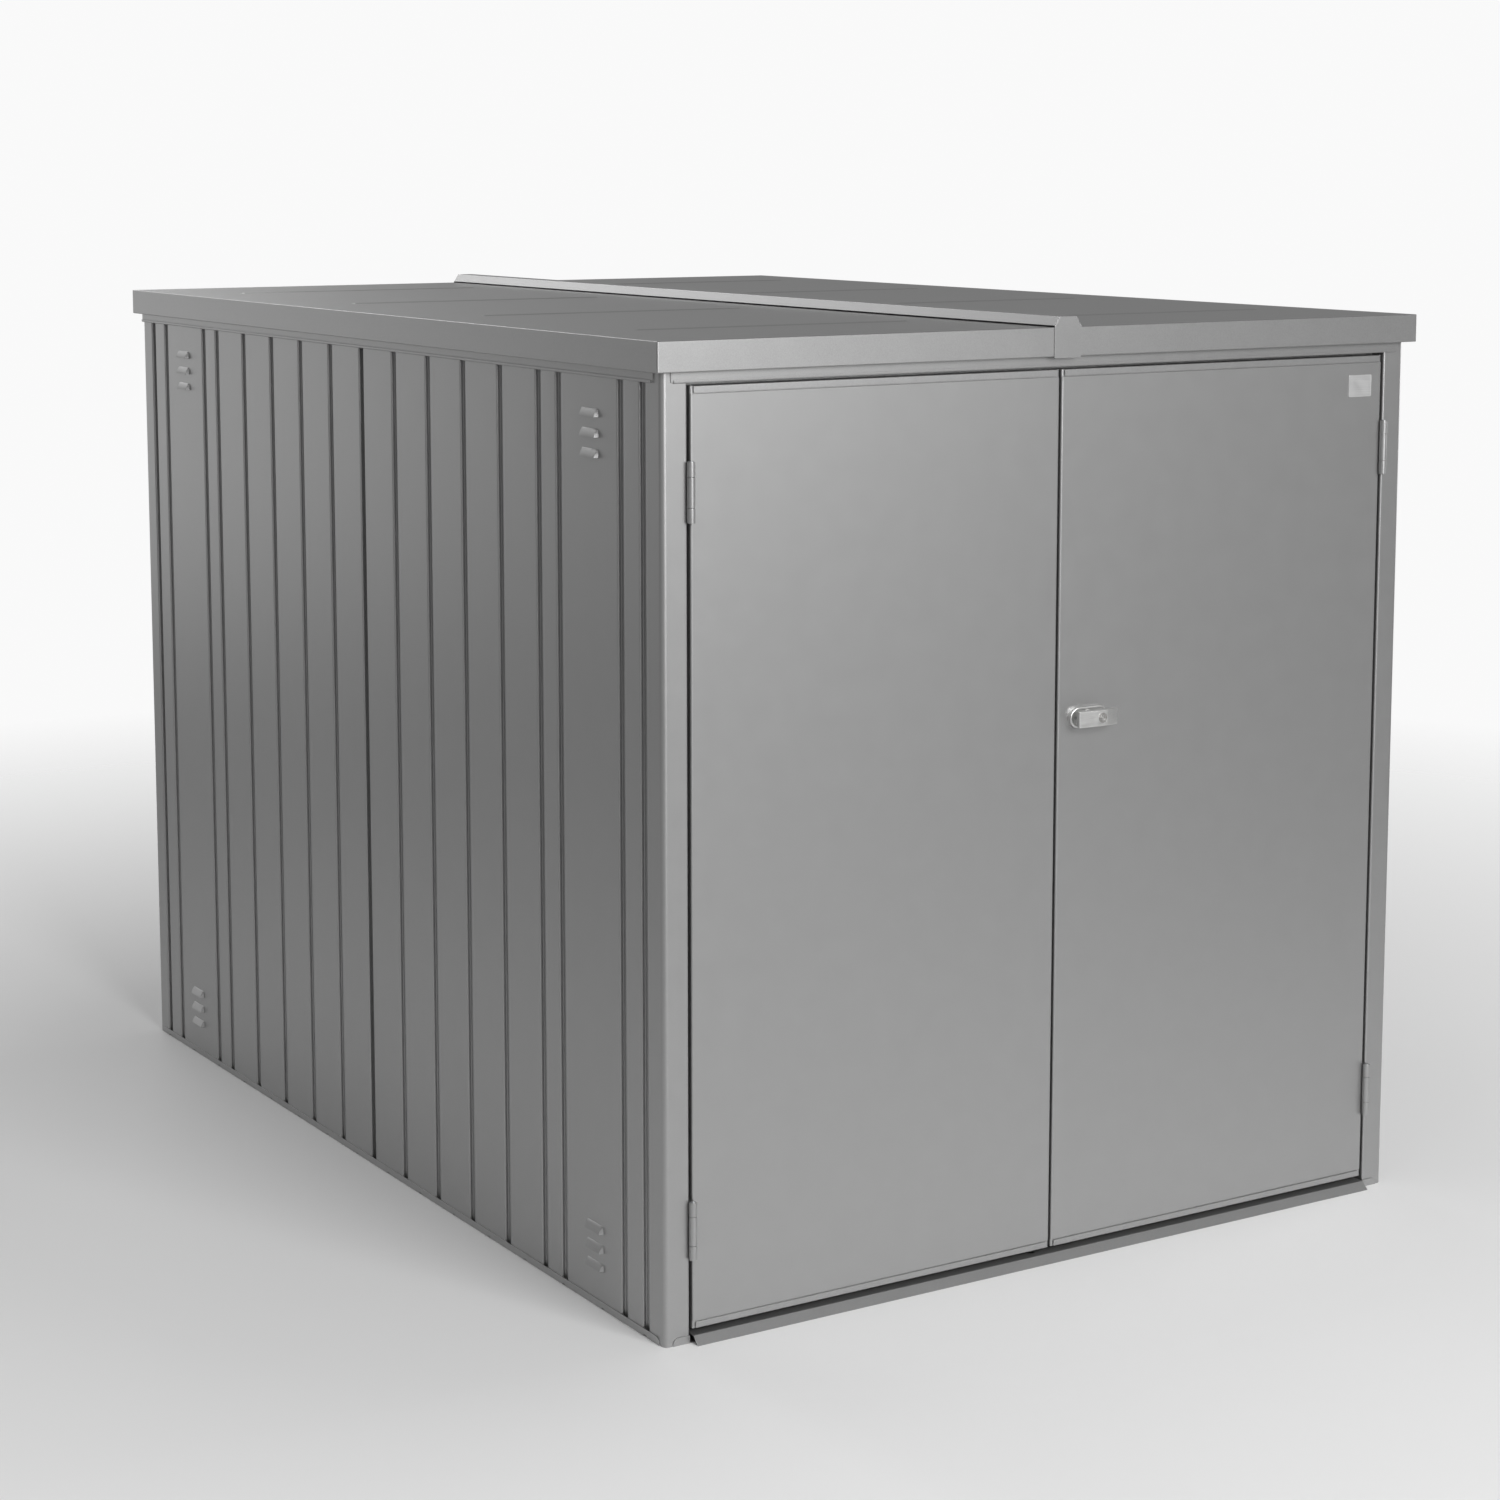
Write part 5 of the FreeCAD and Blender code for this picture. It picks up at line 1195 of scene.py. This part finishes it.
def both_sides(skins):
    """The surfaces mirrored to the other side of the cabinet."""
    return [skin.mirrored("x") for skin in skins]


def pair(name, skins, body="cabinet", slot="silver_paint", rim=0.15):
    """A piece on the left and its mirror image on the right: the name and the body take the side's name."""
    for side, shapes in (("left", skins), ("right", both_sides(skins))):
        piece(name.format(side), shapes, body.format(side), slot, rim)


class LOCKER_OT_finishes(bpy.types.Operator):
    """Make the finishes: powder coat, zinc, stainless steel, nickel, aluminium and nylon"""

    bl_idname = "locker.finishes"
    bl_label = "Finishes"

    def execute(self, context):
        for finish in (silver_paint, zinc_steel, stainless, badge_aluminium, guide_plastic):
            finish(context.scene.locker_finish)
        lock_metal(context.scene.locker_finish, context.scene.locker_lock)
        return {"FINISHED"}


class LOCKER_OT_walls(bpy.types.Operator):
    """Build the six wall panels with their grooves and vent hoods"""

    bl_idname = "locker.walls"
    bl_label = "Wall panels"

    def execute(self, context):
        s = sizes(context.scene)
        panel = side_panel(s)
        pair("wall_{}_front", [panel])
        pair("wall_{}_back", [panel.mirrored("y")])
        pair("wall_back_{}", [back_panel(s)])
        return {"FINISHED"}


class LOCKER_OT_joint_strips(bpy.types.Operator):
    """Build the channels behind the joints of the wall panels"""

    bl_idname = "locker.joint_strips"
    bl_label = "Joint strips"

    def execute(self, context):
        s = sizes(context.scene)
        strip = joint_strip(s)
        pair("joint_strip_{}", [strip])
        across = Skin(strip.points[:, [1, 0, 2]] * (1, -1, 1), strip.quads).outward()
        piece("joint_strip_back", [across.moved(y=s.back - s.half)])
        return {"FINISHED"}


class LOCKER_OT_posts(bpy.types.Operator):
    """Build the four corner posts"""

    bl_idname = "locker.posts"
    bl_label = "Corner posts"

    def execute(self, context):
        s = sizes(context.scene)
        pair("post_front_{}", [front_post(s)])
        pair("post_back_{}", [back_post(s)])
        return {"FINISHED"}


class LOCKER_OT_top_rails(bpy.types.Operator):
    """Build the hemmed rails under the roof and the header over the doors"""

    bl_idname = "locker.top_rails"
    bl_label = "Top rails and header"

    def execute(self, context):
        s = sizes(context.scene)
        pair("top_rail_{}", [side_rail(s)])
        piece("top_rail_back", [cross_rail(s.roof_top - 27, s).mirrored("y")])
        piece("header", [cross_rail(s.roof_top - 82.7, s)])
        return {"FINISHED"}


class LOCKER_OT_base_rails(bpy.types.Operator):
    """Build the base rails with their drain notches, and the threshold"""

    bl_idname = "locker.base_rails"
    bl_label = "Base rails and threshold"

    def execute(self, context):
        s = sizes(context.scene)
        pair("base_rail_{}", [side_base_rail(s)])
        piece("base_rail_front", front_base_rail(s), rim=0)
        piece("base_rail_back", [back_base_rail(s)])
        piece("threshold", [threshold(s)])
        return {"FINISHED"}


class LOCKER_OT_roof(bpy.types.Operator):
    """Build the two roof trays with their beads and skirts, and the stiffeners under them"""

    bl_idname = "locker.roof"
    bl_label = "Roof"

    def execute(self, context):
        s = sizes(context.scene)
        pair("roof_{}", [joined(*roof_tray(s))])
        piece("roof_stiffeners", roof_stiffeners(s))
        return {"FINISHED"}


class LOCKER_OT_ridge(bpy.types.Operator):
    """Build the ridge cap and its end plates"""

    bl_idname = "locker.ridge"
    bl_label = "Ridge cap"

    def execute(self, context):
        s = sizes(context.scene)
        piece("ridge_cap", [ridge_cap(s)])
        piece("ridge_end_front", [ridge_end(s)], rim=0)
        piece("ridge_end_back", [ridge_end(s).mirrored("y")], rim=0)
        return {"FINISHED"}


class LOCKER_OT_doors(bpy.types.Operator):
    """Build the door skins, their top and bottom caps and their cross stiffeners"""

    bl_idname = "locker.doors"
    bl_label = "Doors"

    def execute(self, context):
        s = sizes(context.scene)
        pair("{}_door_skin", [door_skin(s)], "{}_door")
        pair("{}_door_stiffeners", door_hats(s), "{}_door")
        bolt = door_cap(s, BOLT_X, s.face + BOLT_IN, BOLT_HOLE, BOLT_HOLE, round_hole=True)
        upper, lower = (door_cap(s, x, s.face + 17, 10.5, 3) for x in (-70, -46))
        piece("left_door_top_cap", [bolt], "left_door")
        piece("left_door_bottom_cap", [upside_down(bolt, s)], "left_door")
        piece("right_door_top_cap", both_sides([upper]), "right_door")
        piece("right_door_bottom_cap", both_sides([upside_down(lower, s)]), "right_door")
        return {"FINISHED"}


class LOCKER_OT_hinges(bpy.types.Operator):
    """Build the hinge leaves, knuckles and pins"""

    bl_idname = "locker.hinges"
    bl_label = "Hinges"

    def execute(self, context):
        s = sizes(context.scene)
        pair("hinge_frame_leaves_{}", hinge_leaves(s, on_door=False), rim=0)
        pair("hinge_door_leaves_{}", hinge_leaves(s, on_door=True), "{}_door", rim=0)
        pair("hinge_pins_{}", hinge_pins(s), slot="zinc_steel", rim=0)
        return {"FINISHED"}


class LOCKER_OT_badge(bpy.types.Operator):
    """Build the bare badge plate"""

    bl_idname = "locker.badge"
    bl_label = "Badge plate"

    def execute(self, context):
        piece("badge_plate", [badge_plate(sizes(context.scene))], "right_door", "badge_aluminium", 0)
        return {"FINISHED"}


class LOCKER_OT_handle(bpy.types.Operator):
    """Build the handle with its backplate and key plug"""

    bl_idname = "locker.handle"
    bl_label = "Handle and key plug"

    def execute(self, context):
        s = sizes(context.scene)
        piece("handle_backplate", backplate(s), "right_door", "stainless", 0)
        piece("handle_bar", handle_bar(s), "handle", "stainless", 0)
        piece("lock_plug", [key_plug(s)], "lock_plug", "lock_metal", 0)
        return {"FINISHED"}


class LOCKER_OT_lock(bpy.types.Operator):
    """Build the cam, its case and the two locking rods behind the right door's skin"""

    bl_idname = "locker.lock"
    bl_label = "Lock and rods"

    def execute(self, context):
        s = sizes(context.scene)
        piece("lock_cam", cam(s), "handle", "zinc_steel", 0)
        piece("lock_case", [lock_case(s)], "right_door", "zinc_steel", 0.3)
        piece("upper_rod", [locking_rod(s, 1)], "upper_rod", "zinc_steel", 0.5)
        piece("lower_rod", [locking_rod(s, -1)], "lower_rod", "zinc_steel", 0.5)
        return {"FINISHED"}


class LOCKER_OT_slide_bolts(bpy.types.Operator):
    """Build the slide bolts of the left door"""

    bl_idname = "locker.slide_bolts"
    bl_label = "Slide bolts"

    def execute(self, context):
        s = sizes(context.scene)
        piece("left_top_bolt", slide_bolt(s, 1), "left_top_bolt", "zinc_steel", 0)
        piece("left_bottom_bolt", slide_bolt(s, -1), "left_bottom_bolt", "zinc_steel", 0)
        return {"FINISHED"}


class LOCKER_OT_plain_parts(bpy.types.Operator):
    """Give the parts that keep their construction shape their finish and rounded rims"""

    bl_idname = "locker.plain_parts"
    bl_label = "Plain parts"

    def execute(self, context):
        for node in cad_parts.values():
            if node.hide_render:
                continue
            for place in node.material_slots:
                slot = place.material.name.split(".")[0]
                place.material = bpy.data.materials[slot + "_finish"]
            weld = node.modifiers.new("joined_corners", "WELD")
            weld.merge_threshold = 0.00001
            rounding = round_rims(node, 0.3)
            rounding.use_clamp_overlap = True
            rounding.harden_normals = True
        return {"FINISHED"}


class LOCKER_OT_studio(bpy.types.Operator):
    """Set up the floor, the lights and the camera"""

    bl_idname = "locker.studio"
    bl_label = "Studio"

    def execute(self, context):
        scene, studio = context.scene, context.scene.locker_studio
        floor = bpy.data.objects.new("floor", floor_mesh())
        floor.data.materials.append(floor_material(studio))
        scene.collection.objects.link(floor)
        for name, size, turn, rise in LIGHTS:
            add_light(name + "_light", getattr(studio, name), size, turn, rise)
        add_room(scene, studio)
        lens = bpy.data.cameras.new("camera")
        lens.lens, lens.sensor_width, lens.shift_y = studio.focal, 36.0, -0.12
        lens.clip_end = 100.0
        camera = bpy.data.objects.new("camera", lens)
        camera.location = (-2.93087, -4.79437, 1.73796)
        camera.rotation_euler = np.radians((90 - 7.5377, 0.0, -31.9779))
        scene.collection.objects.link(camera)
        scene.camera = camera
        scene.view_settings.view_transform = "Standard"
        return {"FINISHED"}


# Name, width and height in metres, turn from straight in front of the doors to the right, and rise, in degrees.
LIGHTS = (
    ("front", (4.5, 4.2), 0, 24),
    ("key", (3.0, 3.0), 18, 14),
    ("corner", (1.2, 3.0), -56, 20),
    ("high", (3.5, 2.5), -160, 26),
    ("right", (3.5, 3.0), 90, 14),
    ("back", (4.5, 3.5), 180, 38),
    ("left", (4.5, 2.5), -160, 6),
)
LIGHT_REACH = 9  # from the locker's middle to each light, in metres
LIGHT_AIM = 0.7  # height of the point that each light faces, in metres


def floor_mesh():
    """Round floor: rings of points from the middle out to nine metres, with a small cap in the middle."""
    angle = np.linspace(0, 2 * np.pi, 96, endpoint=False)
    reach = np.linspace(0.5, 9, 18)[:, None]
    points = placed(reach * np.cos(angle), reach * np.sin(angle), 0.0, "xyz")
    index = np.arange(points[..., 0].size).reshape(points.shape[:2])
    quads = grid_cells(np.concatenate([index, index[:, :1]], axis=1)).reshape(-1, 4)
    mesh = bpy.data.meshes.new("floor")
    mesh.from_pydata(points.reshape(-1, 3), [], quads.tolist() + [index[0].tolist()])
    return mesh


def floor_material(studio):
    """Pale matt floor that fades into the backdrop: its cover falls from the distance to the middle."""
    bench = Bench("floor_finish")
    reach = bench.node("ShaderNodeVectorMath", {"operation": "LENGTH"}, {0: bench.place()}, "Value")
    tint = bench.noise(bench.place(), 1.2, 2)
    grain = bench.noise(bench.place(), 260, 2)
    return bench.surface(
        base_color=bench.mix((0.5 + tint).clipped(), shaded(studio.floor, 0.97), tuple(studio.floor)),
        roughness=0.85,
        alpha=((4.5 - reach) / 3.1).clipped(),
        normal=bench.bump(grain, 0.0001),
    )


def add_light(name, power, size, turn, rise):
    """Soft rectangular light that faces the locker, at the given turn and rise."""
    light = bpy.data.lights.new(name, "AREA")
    light.shape, light.energy = "RECTANGLE", power
    light.size, light.size_y = size
    lamp = bpy.data.objects.new(name, light)
    turn, rise = np.radians((turn, rise))
    lamp.location = LIGHT_REACH * np.array([np.cos(rise) * np.sin(turn), -np.cos(rise) * np.cos(turn), np.sin(rise)])
    way = lamp.location - Vector((0, 0, LIGHT_AIM))
    lamp.rotation_euler = way.to_track_quat("Z", "Y").to_euler()
    lamp.visible_camera = False
    bpy.context.scene.collection.objects.link(lamp)


def add_room(scene, studio):
    """Room light: soft grey light from all round, in front of a pale backdrop."""
    world = bpy.data.worlds.new("room")
    world.use_nodes = True
    nodes, links = world.node_tree.nodes, world.node_tree.links
    nodes.clear()
    seen, felt, path, mix, end = (
        nodes.new("ShaderNode" + kind) for kind in ("Background", "Background", "LightPath", "MixShader", "OutputWorld")
    )
    seen.inputs["Color"].default_value = (1, 1, 1, 1)
    seen.inputs["Strength"].default_value = studio.backdrop
    felt.inputs["Strength"].default_value = studio.ambient
    links.new(path.outputs["Is Camera Ray"], mix.inputs["Fac"])
    links.new(felt.outputs[0], mix.inputs[1])
    links.new(seen.outputs[0], mix.inputs[2])
    links.new(mix.outputs[0], end.inputs["Surface"])
    scene.world = world


class LOCKER_PT_panel(bpy.types.Panel):
    """Bicycle locker tools"""

    bl_idname = "LOCKER_PT_panel"
    bl_label = "Bicycle Locker"
    bl_space_type = "VIEW_3D"
    bl_region_type = "UI"
    bl_category = "Bicycle Locker"

    def draw(self, context):
        for operator in OPERATORS:
            self.layout.operator(operator.bl_idname)
        for group in GROUPS:
            settings = getattr(context.scene, group)
            box = self.layout.box()
            for name in settings.__class__.__annotations__:
                box.prop(settings, name)


GROUPS = {
    "locker_shell": ShellSizes,
    "locker_doors": DoorSizes,
    "locker_lock": LockSizes,
    "locker_finish": FinishSettings,
    "locker_studio": StudioSettings,
}
OPERATORS = (
    LOCKER_OT_finishes,
    LOCKER_OT_walls,
    LOCKER_OT_joint_strips,
    LOCKER_OT_posts,
    LOCKER_OT_top_rails,
    LOCKER_OT_base_rails,
    LOCKER_OT_roof,
    LOCKER_OT_ridge,
    LOCKER_OT_doors,
    LOCKER_OT_hinges,
    LOCKER_OT_badge,
    LOCKER_OT_handle,
    LOCKER_OT_lock,
    LOCKER_OT_slide_bolts,
    LOCKER_OT_plain_parts,
    LOCKER_OT_studio,
)


def register():
    for cls in (*GROUPS.values(), *OPERATORS, LOCKER_PT_panel):
        bpy.utils.register_class(cls)
    for name, group in GROUPS.items():
        setattr(bpy.types.Scene, name, PointerProperty(type=group))


def unregister():
    for name in GROUPS:
        delattr(bpy.types.Scene, name)
    for cls in (LOCKER_PT_panel, *reversed(OPERATORS), *reversed(list(GROUPS.values()))):
        bpy.utils.unregister_class(cls)


def main():
    register()
    for operator in OPERATORS:
        area, name = operator.bl_idname.split(".")
        getattr(getattr(bpy.ops, area), name)()


if __name__ == "__main__":
    main()
